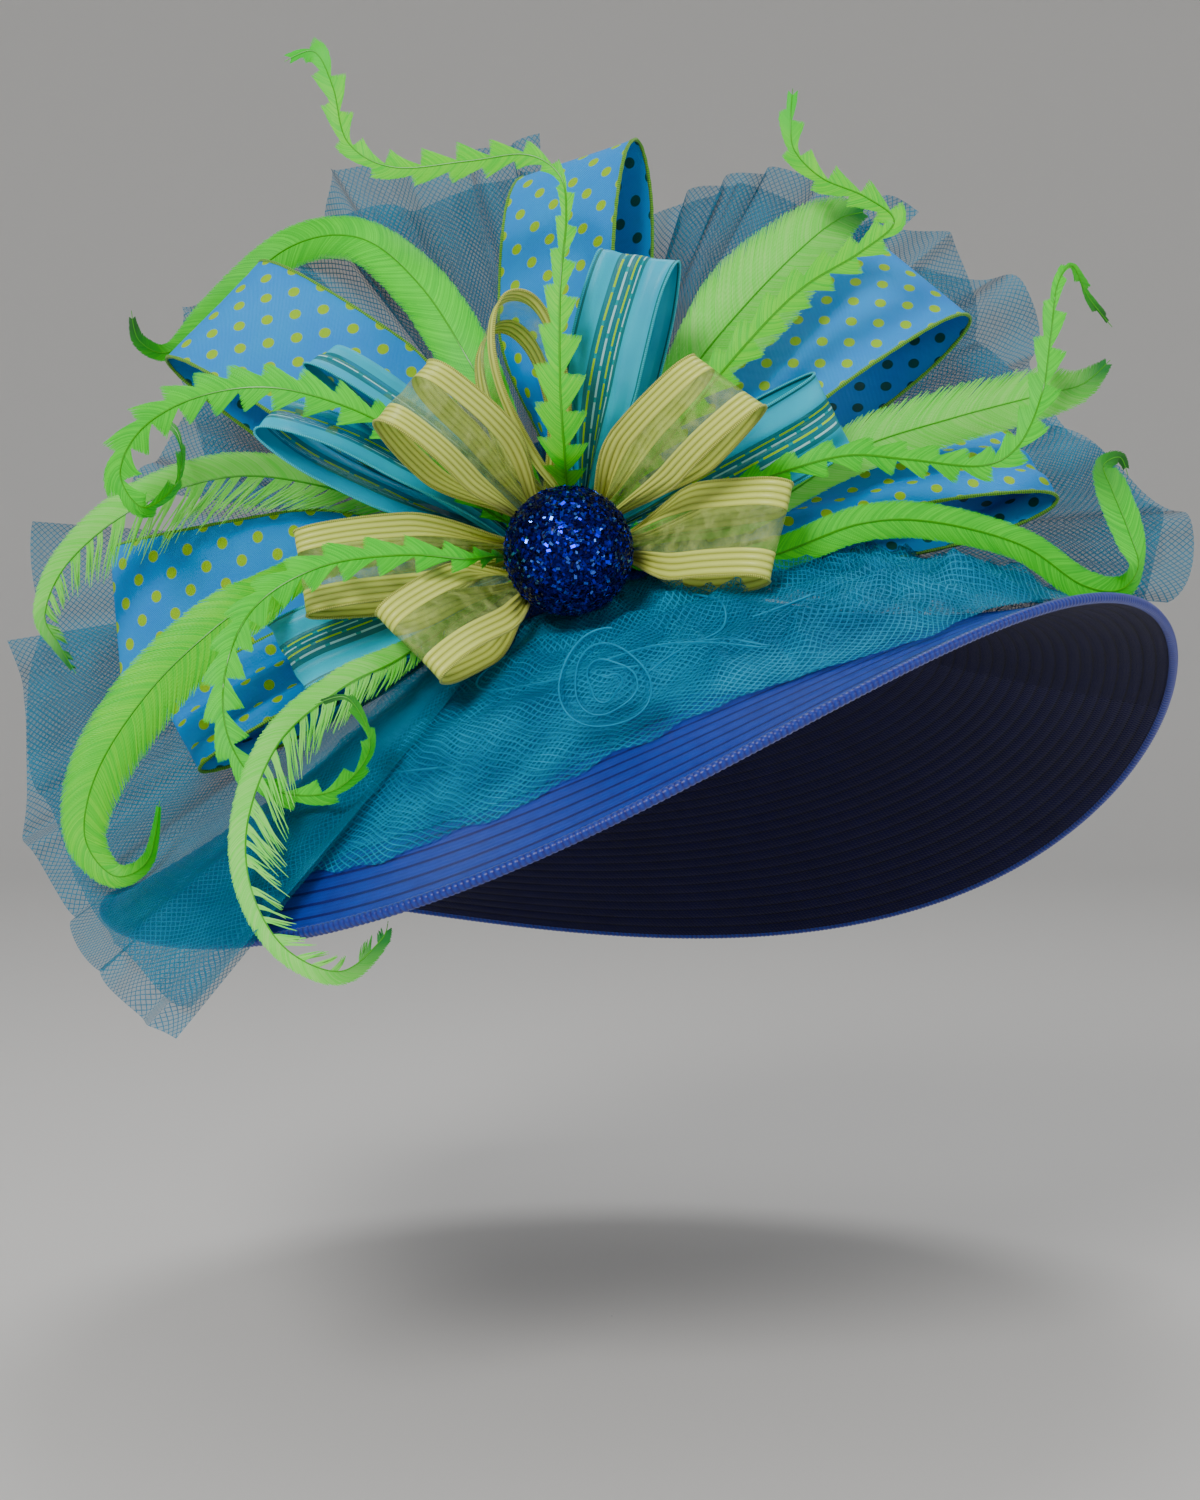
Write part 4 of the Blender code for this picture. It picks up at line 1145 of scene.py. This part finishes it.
def build_feather(name, rows):
    """Build a feather's barbs as one piece, then its quill."""
    lines = feather_lines(rows)
    quill, _, facing, _, walk = lines
    dice = np.random.default_rng(len(name) * 100 + len(rows))
    sides = [barb_blades(name, lines, side, dice) for side in (-1.0, 1.0)]
    start = np.concatenate([starts for starts, _ in sides])
    grid = np.concatenate([blades for _, blades in sides])
    points = grid.reshape(-1, 3)
    faces, down, over = grid_faces(BARB_STEPS, 3, False, True)
    faces = faces[:, ::-1]
    over = over[:, ::-1]
    down = down[:, ::-1]
    root = np.arange(len(grid))[:, None, None] * (3 * BARB_STEPS)
    all_faces = (faces[None] + root).reshape(-1, 4)
    across = np.broadcast_to(down[None] * BARB_CELL[0], (len(grid), *down.shape))
    along = np.broadcast_to(start[:, None, None], across.shape)
    metres = np.stack([along, across + over[None] * BARB_CELL[1]], -1).reshape(-1, 2)
    solid = f"feather_{name}"
    piece = add_piece(solid, points, all_faces, metres, (FEATHER_DYES[name],), [solid])
    chance = dice.random(len(grid))[:, None, None]
    barb = np.stack([along / walk[-1], np.broadcast_to(chance, along.shape)], -1)
    layer = piece.data.uv_layers.new(name="barb")
    layer.data.foreach_set("uv", barb.astype(np.float32).ravel())
    thin = (QUILL_RADIUS * (1.0 - QUILL_TAPER * np.linspace(0.0, 1.0, QUILL_STEPS)))[:, None]
    path = quill + facing * QUILL_LIFT
    path, thin, walk = path[::QUILL_EVERY], thin[::QUILL_EVERY], walk[::QUILL_EVERY]
    add_tube(f"quill_{name}", path, thin, walk, QUILL_SIDE, QUILL)
    return len(grid)


barbs = {name: build_feather(name, rows) for name, rows in FEATHERS.items()}
print("barbs:", barbs)

# %% [markdown]
# ## Net
# Tulle is a mesh of fine threads that holds a fold. It is stacked and pleated into fans behind the
# bow and swirled over the front of the brim. A real thread is thinner than a hair, so the mesh is
# in the finish: threads cross on the flat net, and the holes between them let light through.


# %% The net's finish
NET_PITCH = 0.0034
THREAD_SHARE = 0.42


def net_finish(name, dark, light, solid):
    """Make tulle. solid is how much the holes themselves show, as layers of net blur together."""
    net = Finish(name, Roughness=0.6, Specular_IOR_Level=0.15)
    along, across = net.place()
    threads = (along + across).ridges(NET_PITCH).at_most((along - across).ridges(NET_PITCH))
    thread = ((THREAD_SHARE - threads) * 5.0).kept()
    tone = net.cloud(35.0, 3.0)
    net.show(Base_Color=net.blend(tone * 1.4 - 0.2, dark, light))
    net.show(Alpha=(thread * (0.85 - solid) + solid + tone * 0.25 - 0.12).at_most(1.0))
    return net


fan_net = net_finish("blue_green_net", srgb(0, 88, 114), srgb(0, 132, 160), 0.38)
band_net = net_finish("blue_net", srgb(0, 96, 132), srgb(0, 158, 192), 0.2)
hem_net = Finish("doubled_net", Roughness=0.6, Specular_IOR_Level=0.15)
hem_net.show(Base_Color=hem_net.blend(hem_net.cloud(90.0), srgb(0, 104, 138), srgb(0, 160, 192)))
print("threads in 100 mm of net:", round(0.1 / NET_PITCH))

# %% The fans behind the bow
FAN_COLUMNS = ("clock", "reach", "forward")
FANS = {
    "net_fan_top": (
        (-37, 186, -76), (-32, 214, -86), (-21, 198, -82), (-11, 196, -84), (-5, 200, -86),
    ),
    "net_fan_left": (
        (-82, 214, -84), (-70, 196, -88), (-58, 220, -110), (-50, 196, -112), (-42, 207, -112),
    ),
    "net_fan_upper_right": (
        (18, 165, -84), (23, 192, -88), (29, 210, -92), (38, 216, -100), (45, 236, -106),
    ),
    "net_fan_right": (
        (52, 216, -106), (60, 254, -110), (70, 240, -104), (80, 262, -96), (88, 302, -80),
        (96, 292, -58),
    ),
    "net_drape_left": (
        (-99, 276, -84), (-108, 276, -76), (-117, 298, -56), (-124, 300, -30), (-128.5, 305, 22),
        (-132, 308, 104), (-136, 310, 152), (-141.5, 306, 184),
    ),
}
print("fans:", len(FANS))

# %% Pleat a fan
FAN_ROOT_FORWARD = -17.5
FAN_ROOT_RADIUS = 12.6
DRAPE_ROOT_RADIUS = 20.3
FALL_POWERS = {"net_fan_right": 0.88}
USUAL_FALL_POWER = 0.75
FAN_DEPTH_STEPS = 28
FAN_ACROSS_STEPS = 18
PLEAT_WIDTH = 15.0
PLEAT_HEIGHT = 4.2
PLEAT_REACH = 200.0
PLEAT_POWER = 0.6
PLEAT_WANDER = 0.35
PLEAT_SHIFT = 2.1
FAN_SWAY = 0.02
FAN_SWAY_RATE = 31.0
FAN_EDGE_WANDER = 5.0
FAN_CRUMPLE = 5.0
WIDENING = 0.26
LAYER_INSET = 16.0
LAYER_FORWARD = 5.0


def build_fan(name, rows, layer):
    """Build one pleated layer of a fan. Later layers are shorter and lie nearer to the viewer."""
    root_radius = DRAPE_ROOT_RADIUS if "drape" in name else FAN_ROOT_RADIUS
    fall_power = FALL_POWERS.get(name, USUAL_FALL_POWER)
    steps = FAN_ACROSS_STEPS * (len(rows) - 1)
    spread = math.radians(abs(rows[-1][0] - rows[0][0]))
    turns = round(spread * PLEAT_REACH / PLEAT_WIDTH)
    seed = 11.0 * len(name) + 5.0 * layer
    last_clock = rows[-1][0]
    grid = np.empty((FAN_DEPTH_STEPS + 1, steps + 1, 3))
    for radial in range(FAN_DEPTH_STEPS + 1):
        part = radial / FAN_DEPTH_STEPS
        for step in range(steps + 1):
            share = step / steps
            row = read_table(FAN_COLUMNS, rows, share)
            wander = PLEAT_WANDER * rough(seed, part * 1.5, share * 4.0)
            wave = math.sin(2.0 * math.pi * (turns * share + wander) + PLEAT_SHIFT * layer)
            edge = FAN_EDGE_WANDER * rough(seed, share * turns * 0.9, 3.0) - LAYER_INSET * layer
            clock = last_clock + (row["clock"] - last_clock) * (1.0 + WIDENING * layer)
            sway = FAN_SWAY * part * math.sin(share * FAN_SWAY_RATE + seed)
            angle = math.radians(clock) + sway
            distance = root_radius + (row["reach"] + edge * part - root_radius) * part
            crumple = FAN_CRUMPLE * part * rough(share * turns * 0.6, part * 4.0, seed)
            fall = (row["forward"] - FAN_ROOT_FORWARD) * part ** fall_power
            pleat = PLEAT_HEIGHT * part ** PLEAT_POWER * wave
            depth = FAN_ROOT_FORWARD + fall + pleat + crumple + LAYER_FORWARD * layer * part
            spot = seen(distance * math.sin(angle), distance * math.cos(angle), depth)
            grid[radial, step] = spot
    walk = lengths(grid[:, steps // 2])
    rim = lengths(grid[-1])
    piece_name = f"{name.replace('net_', 'tulle_')}_{layer + 1}"
    replaced = [name] if layer == 0 else None
    piece = add_grid(piece_name, grid, walk[:, None], rim, (fan_net,), replaced)
    return piece, rim[-1], walk[-1]


print("pleats in 100 mm of a fan:", round(100.0 / PLEAT_WIDTH, 1))


# %% Build each fan's layers of net
FAN_LAYERS = 2


for name, rows in FANS.items():
    for layer in range(FAN_LAYERS):
        piece, wide, long = build_fan(name, rows, layer)

# %% [markdown]
# ## The band and the whorl
# On the front of the brim the net is swirled by hand, so its folds run round in arcs and gather
# into a rosette that is rolled from the same net.

# %% The swirled band
BAND_COLUMNS = ("azimuth", "inner", "outer", "lift")
NET_BAND = (
    (-142, 130, 262, 5), (-130, 120, 258, 6), (-118, 112, 256, 6), (-106, 106, 256, 7),
    (-95, 106, 248, 8), (-85, 106, 244, 10), (-75, 106, 254, 14), (-65, 108, 262, 18),
    (-54, 110, 260, 24), (-44, 112, 260, 26), (-34, 120, 258, 25), (-24, 135, 252, 22),
    (-15, 160, 238, 12),
)
BAND_LAYERS = 3
BAND_SEAT = 1.5
BAND_LARGE_FOLDS = (3.2, 0.75)
BAND_MIDDLING_FOLDS = (3.0, 0.4)
BAND_SMALL_FOLDS = 1.5
BAND_SLIDE = 0.9
BAND_RISE_OVER = 0.12
BAND_SEWN_FROM = 0.8
BAND_SEWN_DOWN = 0.92
BAND_FLATTER = 0.45
BAND_LEAST_PUFF = 0.06
BAND_EDGE_WANDER = 10.0
BAND_EDGE_RIPPLE = 4.0
BAND_LEAST_LIFT = 0.4
BAND_LAYER_RISE = 2.0
BAND_LAYER_INSET = 7.0
BAND_DEPTH_STEPS = 56
BAND_ACROSS_STEPS = 200


def fold_height(value, sharpness, height):
    """Turn a smooth random number into a fold, highest where the number is 0."""
    return (1.0 - sharpness * abs(value)) * height


def build_band(layer):
    """Build one layer of the band, with folds that run round it and wander."""
    seed = 40.0 + 9.0 * layer
    grid = np.empty((BAND_DEPTH_STEPS + 1, BAND_ACROSS_STEPS + 1, 3))
    for radial in range(BAND_DEPTH_STEPS + 1):
        part = radial / BAND_DEPTH_STEPS
        for step in range(BAND_ACROSS_STEPS + 1):
            share = step / BAND_ACROSS_STEPS
            row = read_table(BAND_COLUMNS, NET_BAND, share)
            slide = BAND_SLIDE * rough(seed, part * 2.2, share * 4.5)
            large = rough(share * 4.5 + slide, part * 3.2 - share * 2.0 + slide, seed)
            middling = rough(share * 9.0 - slide, part * 7.0 + slide, seed + 20.0)
            fold = fold_height(large, *BAND_LARGE_FOLDS)
            fold += fold_height(middling, *BAND_MIDDLING_FOLDS)
            small = rough(share * 30.0, part * 15.0, seed)
            edge = BAND_EDGE_WANDER * rough(seed, share * 9.0, 1.0) - BAND_LAYER_INSET * layer
            edge += BAND_EDGE_RIPPLE * rough(seed, share * 34.0, 2.0)
            radius = row["inner"] + (row["outer"] + edge - row["inner"]) * part
            sewn = float(smooth_step(part - BAND_SEWN_FROM, 1.0 - BAND_SEWN_FROM))
            rise = float(smooth_step(part, BAND_RISE_OVER)) * (1.0 - BAND_SEWN_DOWN * sewn)
            puff = row["lift"] * max(0.5 + fold, BAND_LEAST_PUFF) * (1.0 - BAND_FLATTER * part)
            puff += BAND_SMALL_FOLDS * small + BAND_LAYER_RISE * layer
            lift = BAND_SEAT + rise * max(puff, BAND_LEAST_LIFT)
            spot = on_brim(np.radians(row["azimuth"]), np.float64(radius), lift)
            grid[radial, step] = spot
    walk = lengths(grid[:, BAND_ACROSS_STEPS // 2])
    rim = lengths(grid[BAND_DEPTH_STEPS // 2])
    name = f"tulle_band_{layer + 1}"
    replaced = ["net_band_front"] if layer == 0 else None
    piece = add_grid(name, grid, walk[:, None], rim, (band_net,), replaced)
    return piece, rim[-1], walk[-1], grid


for layer in range(BAND_LAYERS):
    piece, wide, long, band_grid = build_band(layer)

# %% [markdown]
# Where the net is folded double its edge reads as a denser line. A few of those creases are laid on
# the top layer as thin cords of net, each an arc from one place on the band to another.

# %% The creases, from and to as shares round the band and out over it, and how far they bow
CREASE_COLUMNS = ("from_round", "from_out", "to_round", "to_out", "bow")
CREASES = (
    (0.30, 0.70, 0.44, 0.80, 0.12), (0.26, 0.95, 0.47, 0.35, 0.10), (0.42, 0.15, 0.66, 0.10, -0.12),
    (0.50, 0.75, 0.74, 0.30, 0.14), (0.22, 0.40, 0.38, 0.85, -0.10), (0.62, 0.60, 0.86, 0.25, -0.10),
    (0.08, 0.75, 0.24, 0.90, 0.12),
)
CREASE_RADIUS = 0.6
CREASE_STEPS = 60
CREASE_SMOOTHING = 17
CREASE_SIDE = 0.4


def add_cord(name, path, radius):
    """Add a thin cord of doubled net along a path."""
    return add_tube(name, path, radius, lengths(path), CREASE_SIDE, hem_net)


def on_grid(grid, out, around):
    """Return the point of a grid at shares of its rows and columns."""
    row = min(max(out, 0.0), 1.0) * (grid.shape[0] - 1)
    column = min(max(around, 0.0), 1.0) * (grid.shape[1] - 1)
    row_part, column_part = row % 1.0, column % 1.0
    low, left = int(row), int(column)
    high, right = min(low + 1, grid.shape[0] - 1), min(left + 1, grid.shape[1] - 1)
    near = grid[low, left] * (1.0 - column_part) + grid[low, right] * column_part
    far = grid[high, left] * (1.0 - column_part) + grid[high, right] * column_part
    return near * (1.0 - row_part) + far * row_part


for number, crease in enumerate(CREASES):
    row = dict(zip(CREASE_COLUMNS, crease))
    path = []
    for share in np.linspace(0.0, 1.0, CREASE_STEPS):
        bow = row["bow"] * math.sin(math.pi * share)
        around = row["from_round"] + (row["to_round"] - row["from_round"]) * share + bow
        out = row["from_out"] + (row["to_out"] - row["from_out"]) * share + bow
        path.append(on_grid(band_grid, out, around))
    weights = np.hanning(CREASE_SMOOTHING + 2)[1:-1]
    ends = ((CREASE_SMOOTHING // 2, CREASE_SMOOTHING // 2), (0, 0))
    path = np.pad(np.array(path), ends, "reflect", reflect_type="odd")
    path = [np.convolve(path[:, axis], weights / weights.sum(), "valid") for axis in range(3)]
    add_cord(f"tulle_crease_{number + 1}", np.stack(path, 1), CREASE_RADIUS)
print("creases:", len(CREASES))

# %% The rolled whorl
WHORL_AZIMUTH = -94.0
WHORL_DISTANCE = 243.0
WHORL_LIFT = 28.7
WHORL_TURNS = 3.2
WHORL_STEPS = 420
WHORL_COLUMNS = 9
WHORL_WIDTH = 16.0
WHORL_EDGE = 0.4
WHORL_EYE = 3.0
WHORL_SPREAD = 16.0
WHORL_LEAN = 0.4
WHORL_FOOT = 5.0
WHORL_HEIGHT = 11.0


def build_whorl():
    """Build the rosette as a ruffled strip of net, rolled from its middle outwards."""
    middle = on_brim(math.radians(WHORL_AZIMUTH), WHORL_DISTANCE, WHORL_LIFT)
    axis = unit(np.array(VIEW_FROM) - middle)
    across = unit(np.cross(axis, (0.0, 0.0, 1.0)))
    upward = np.cross(across, axis)
    part = np.linspace(0.0, 1.0, WHORL_STEPS)[:, None]
    side = np.linspace(0.0, 1.0, WHORL_COLUMNS)[None]
    angle = 2.0 * math.pi * WHORL_TURNS * part + WHORL_LEAN * side
    ruffle = (0.3 + 0.9 * side) * np.sin(angle * 2.7 + 3.0 * part)
    radius = WHORL_EYE + WHORL_SPREAD * part + ruffle + WHORL_EYE * side * part
    outward = across * np.cos(angle)[..., None] + upward * np.sin(angle)[..., None]
    height = (WHORL_FOOT + WHORL_HEIGHT * side) * (0.75 + 0.25 * np.sin(part * 17.0))
    grid = middle + outward * radius[..., None] + axis * height[..., None]
    walk = lengths(grid[:, WHORL_COLUMNS // 2])
    add_cord("tulle_whorl_edge", grid[:, -1], WHORL_EDGE)
    over = side * WHORL_WIDTH
    whorl = add_grid("tulle_whorl", grid, walk[:, None], over, (band_net,), ["net_whorl"])
    return whorl, walk[-1]


piece, long = build_whorl()

# %% [markdown]
# ## The glitter ball
# A foam ball is rolled in glue and flakes of foil. The flakes lie every way up, so only some of
# them flash at once. Each flake is a real plate here, with its own tilt and its own shade.

# %% The ball's core
BALL_FORWARD = 44.0
CORE_RADIUS = 29.0
BALL_ROWS = 40
BALL_COLUMNS = 80
POLE_GAP = 0.02
BALL_CELL = 2.0
ball_core = Finish("ball_core", Base_Color=srgb(6, 12, 74), Roughness=0.4, Metallic=0.3)


def build_core(centre):
    """Build the core as a smooth globe."""
    rows = np.arange(BALL_ROWS)[:, None]
    polar = math.pi * (rows + POLE_GAP) / (BALL_ROWS - 1 + 2.0 * POLE_GAP)
    turn = full_turn(BALL_COLUMNS)
    sphere = (np.sin(polar) * np.cos(turn), np.sin(polar) * np.sin(turn), np.cos(polar))
    grid = centre + np.stack(np.broadcast_arrays(*sphere), -1) * CORE_RADIUS
    over = np.arange(BALL_COLUMNS + 1) * BALL_CELL
    add_grid(
        "ball_core", grid, rows * BALL_CELL, over, (ball_core,), ["glitter_ball"],
        (False, True),
    )


BALL_CENTRE = np.array(seen(0.0, 0.0, BALL_FORWARD))
build_core(BALL_CENTRE)
print("the core is", 2.0 * CORE_RADIUS, "mm across")

# %% Its flakes
FLAKE_COUNT = 4600
FLAKE_SIZES = (0.8, 1.5)
FLAKE_LENGTH = 1.7
FLAKE_TILT = 0.275
FLAKE_RISE = (0.5, 1.1)
FLAKE_HALF_THICKNESS = 0.06
FLAKE_SEED = 5
FLAKE_JITTER = 0.02
GOLDEN_ANGLE = math.pi * (3.0 - math.sqrt(5.0))
foil = Finish("blue_foil", Metallic=1.0, Roughness=0.22)
flake_chance = foil.place()[0] / MM
deep = foil.blend(flake_chance * 1.2, srgb(6, 10, 64), srgb(28, 44, 164))
foil.show(Base_Color=foil.blend((flake_chance - 0.86) * 8.0, deep, srgb(120, 150, 240)))


def build_flakes(centre):
    """Cover the core with tilted oblong flakes."""
    dice = np.random.default_rng(FLAKE_SEED)
    number = np.arange(FLAKE_COUNT) + 0.5
    height = 1.0 - 2.0 * number / FLAKE_COUNT
    angle = number * GOLDEN_ANGLE + dice.uniform(-FLAKE_JITTER, FLAKE_JITTER, FLAKE_COUNT)
    ring = np.sqrt(1.0 - height ** 2)
    out = np.stack([ring * np.cos(angle), ring * np.sin(angle), height], -1)
    up = unit(out + dice.normal(0.0, FLAKE_TILT, out.shape))
    one = unit(np.cross(up, dice.normal(0.0, 1.0, out.shape)))
    other = np.cross(up, one)
    half = 0.5 * dice.uniform(*FLAKE_SIZES, FLAKE_COUNT)[:, None]
    one = one * FLAKE_LENGTH
    middle = centre + out * (CORE_RADIUS + dice.uniform(*FLAKE_RISE, FLAKE_COUNT)[:, None])
    corners = []
    for lift in (FLAKE_HALF_THICKNESS, -FLAKE_HALF_THICKNESS):
        for a, b in ((1, 1), (-1, 1), (-1, -1), (1, -1)):
            corners.append(middle + half * (a * one + b * other) + lift * up)
    points = np.stack(corners, 1).reshape(-1, 3)
    plate = np.array(
        [(0, 1, 2, 3), (7, 6, 5, 4), (0, 4, 5, 1), (1, 5, 6, 2), (2, 6, 7, 3), (3, 7, 4, 0)]
    )
    faces = (plate[None] + 8 * np.arange(FLAKE_COUNT)[:, None, None]).reshape(-1, 4)
    if inside_out(points, faces):
        faces = faces[:, ::-1]
    chance = np.repeat(dice.random(FLAKE_COUNT), plate.size)
    metres = np.stack([chance, 0.0 * chance], -1)
    return add_piece("ball_flakes", points, faces, metres, (foil,), None)


flakes = build_flakes(BALL_CENTRE)
print("faces of the flakes:", len(flakes.data.polygons))

# %% [markdown]
# ## The felt post
# Everything in the bow is sewn to a short roll of felt on the front of the crown. It hardly shows,
# but it is what a milliner would sew through. Felt has no weave, only matted fuzz.

# %% The post
felt = Finish("navy_felt", Roughness=0.95, Sheen_Weight=0.6, Sheen_Roughness=0.6)
fuzz = felt.cloud(900.0, 4.0)
felt.show(Base_Color=felt.blend(fuzz, srgb(8, 14, 60), srgb(34, 48, 118)))
felt.bump(fuzz, 0.0006, 0.8)
POST_SIDES = 48
POST_LINE = (
    (2.0, -21.4), (12.0, -21.4), (12.0, -16.6), (18.6, -16.2), (19.4, -15.2), (19.4, 3.2), (18.5, 4.0),
    (18.5, 11.6), (17.4, 12.7), (2.0, 12.8),
)


def build_post():
    """Build the felt roll by turning its outline round the line of sight."""
    grid = np.empty((len(POST_LINE), POST_SIDES, 3))
    for row, (radius, forward) in enumerate(POST_LINE):
        for side, angle in enumerate(full_turn(POST_SIDES)):
            grid[row, side] = seen(radius * math.cos(angle), radius * math.sin(angle), forward)
    along = np.arange(len(POST_LINE))[:, None] * 4.0
    over = np.arange(POST_SIDES + 1) * 2.5
    return add_grid("felt_post", grid, along, over, (felt,), ["bow_post"], (False, True))


post = build_post()
print("post faces:", len(post.data.polygons))

# %% [markdown]
# ## The stage
# A pale round cove with soft light from the front and above. The camera stands where the
# photograph was taken from: in front of the bow and level with the head's opening.

# %% The floor
FLOOR_HEIGHT = -0.36
FLOOR_RADIUS = 2.6
FLOOR_RING = 1.2
COVE_RADIUS = 1.6
COVE_HEIGHT = 5.0
COVE_SIDES = 96
floor_paint = Finish("pale_floor", Base_Color=(0.80, 0.79, 0.77, 1.0), Roughness=0.7)


def build_floor():
    """Build a wide dish whose floor curves up into a wall."""
    line = [(0.0005, 0.0), (FLOOR_RING, 0.0), (FLOOR_RADIUS, 0.0)]
    for angle in np.linspace(0.1, 1.57, 14):
        rise = COVE_RADIUS * (1.0 - math.cos(angle))
        line.append((FLOOR_RADIUS + COVE_RADIUS * math.sin(angle), rise))
    line.append((FLOOR_RADIUS + COVE_RADIUS, COVE_HEIGHT))
    points = [
        (radius * math.cos(turn), radius * math.sin(turn), FLOOR_HEIGHT + height)
        for radius, height in line
        for turn in full_turn(COVE_SIDES)
    ]
    faces, _, _ = grid_faces(len(line), COVE_SIDES, False, True)
    mesh = bpy.data.meshes.new("cove")
    mesh.from_pydata(points, [], [list(face[::-1]) for face in faces])
    mesh.materials.append(floor_paint.material)
    mesh.shade_smooth()
    cove = bpy.data.objects.new("cove", mesh)
    bpy.context.collection.objects.link(cove)


build_floor()
print("floor at", FLOOR_HEIGHT, "m")

# %% The lamps
LIT_PLACE = Vector((0.0, -0.05, 0.05))


def add_light(name, place, size, power, colour):
    """Add a soft area light that looks at the bow."""
    lamp = bpy.data.lights.new(name, "AREA")
    lamp.shape = "DISK"
    lamp.size = size
    lamp.energy = power
    lamp.color = colour
    light = bpy.data.objects.new(name, lamp)
    light.location = place
    light.rotation_euler = (LIT_PLACE - Vector(place)).to_track_quat("-Z", "Y").to_euler()
    bpy.context.collection.objects.link(light)


LAMPS = (
    ("key", (-0.8, -1.9, 1.3), 0.8, 36.0, (1.0, 0.98, 0.95)),
    ("fill", (1.7, -1.3, 0.7), 1.2, 10.0, (0.95, 0.98, 1.0)),
    ("top", (0.2, 0.5, 2.1), 1.0, 14.0, (1.0, 1.0, 1.0)),
)
WORLD_LIGHT = 0.42
for lamp_row in LAMPS:
    add_light(*lamp_row)
world = bpy.data.worlds.new("pale_room")
world.use_nodes = True
world.node_tree.nodes["Background"].inputs["Color"].default_value = srgb(232, 234, 238)
world.node_tree.nodes["Background"].inputs["Strength"].default_value = WORLD_LIGHT
bpy.context.scene.world = world
print("lamps:", len(LAMPS))

# %% The camera
CAMERA_PITCH = math.radians(2.49)
CAMERA_LENS = 55.2
FILM_WIDTH = 36.0
lens = bpy.data.cameras.new("photo_camera")
lens.lens = CAMERA_LENS
lens.sensor_width = FILM_WIDTH
lens.sensor_fit = "AUTO"
camera = bpy.data.objects.new("photo_camera", lens)
camera.location = VIEW_FROM * MM
camera.rotation_euler = (math.pi / 2.0 - CAMERA_PITCH, 0.0, 0.0)
bpy.context.collection.objects.link(camera)
bpy.context.scene.camera = camera
print("the camera stands", round(camera.location.length, 2), "m from the hat's origin")
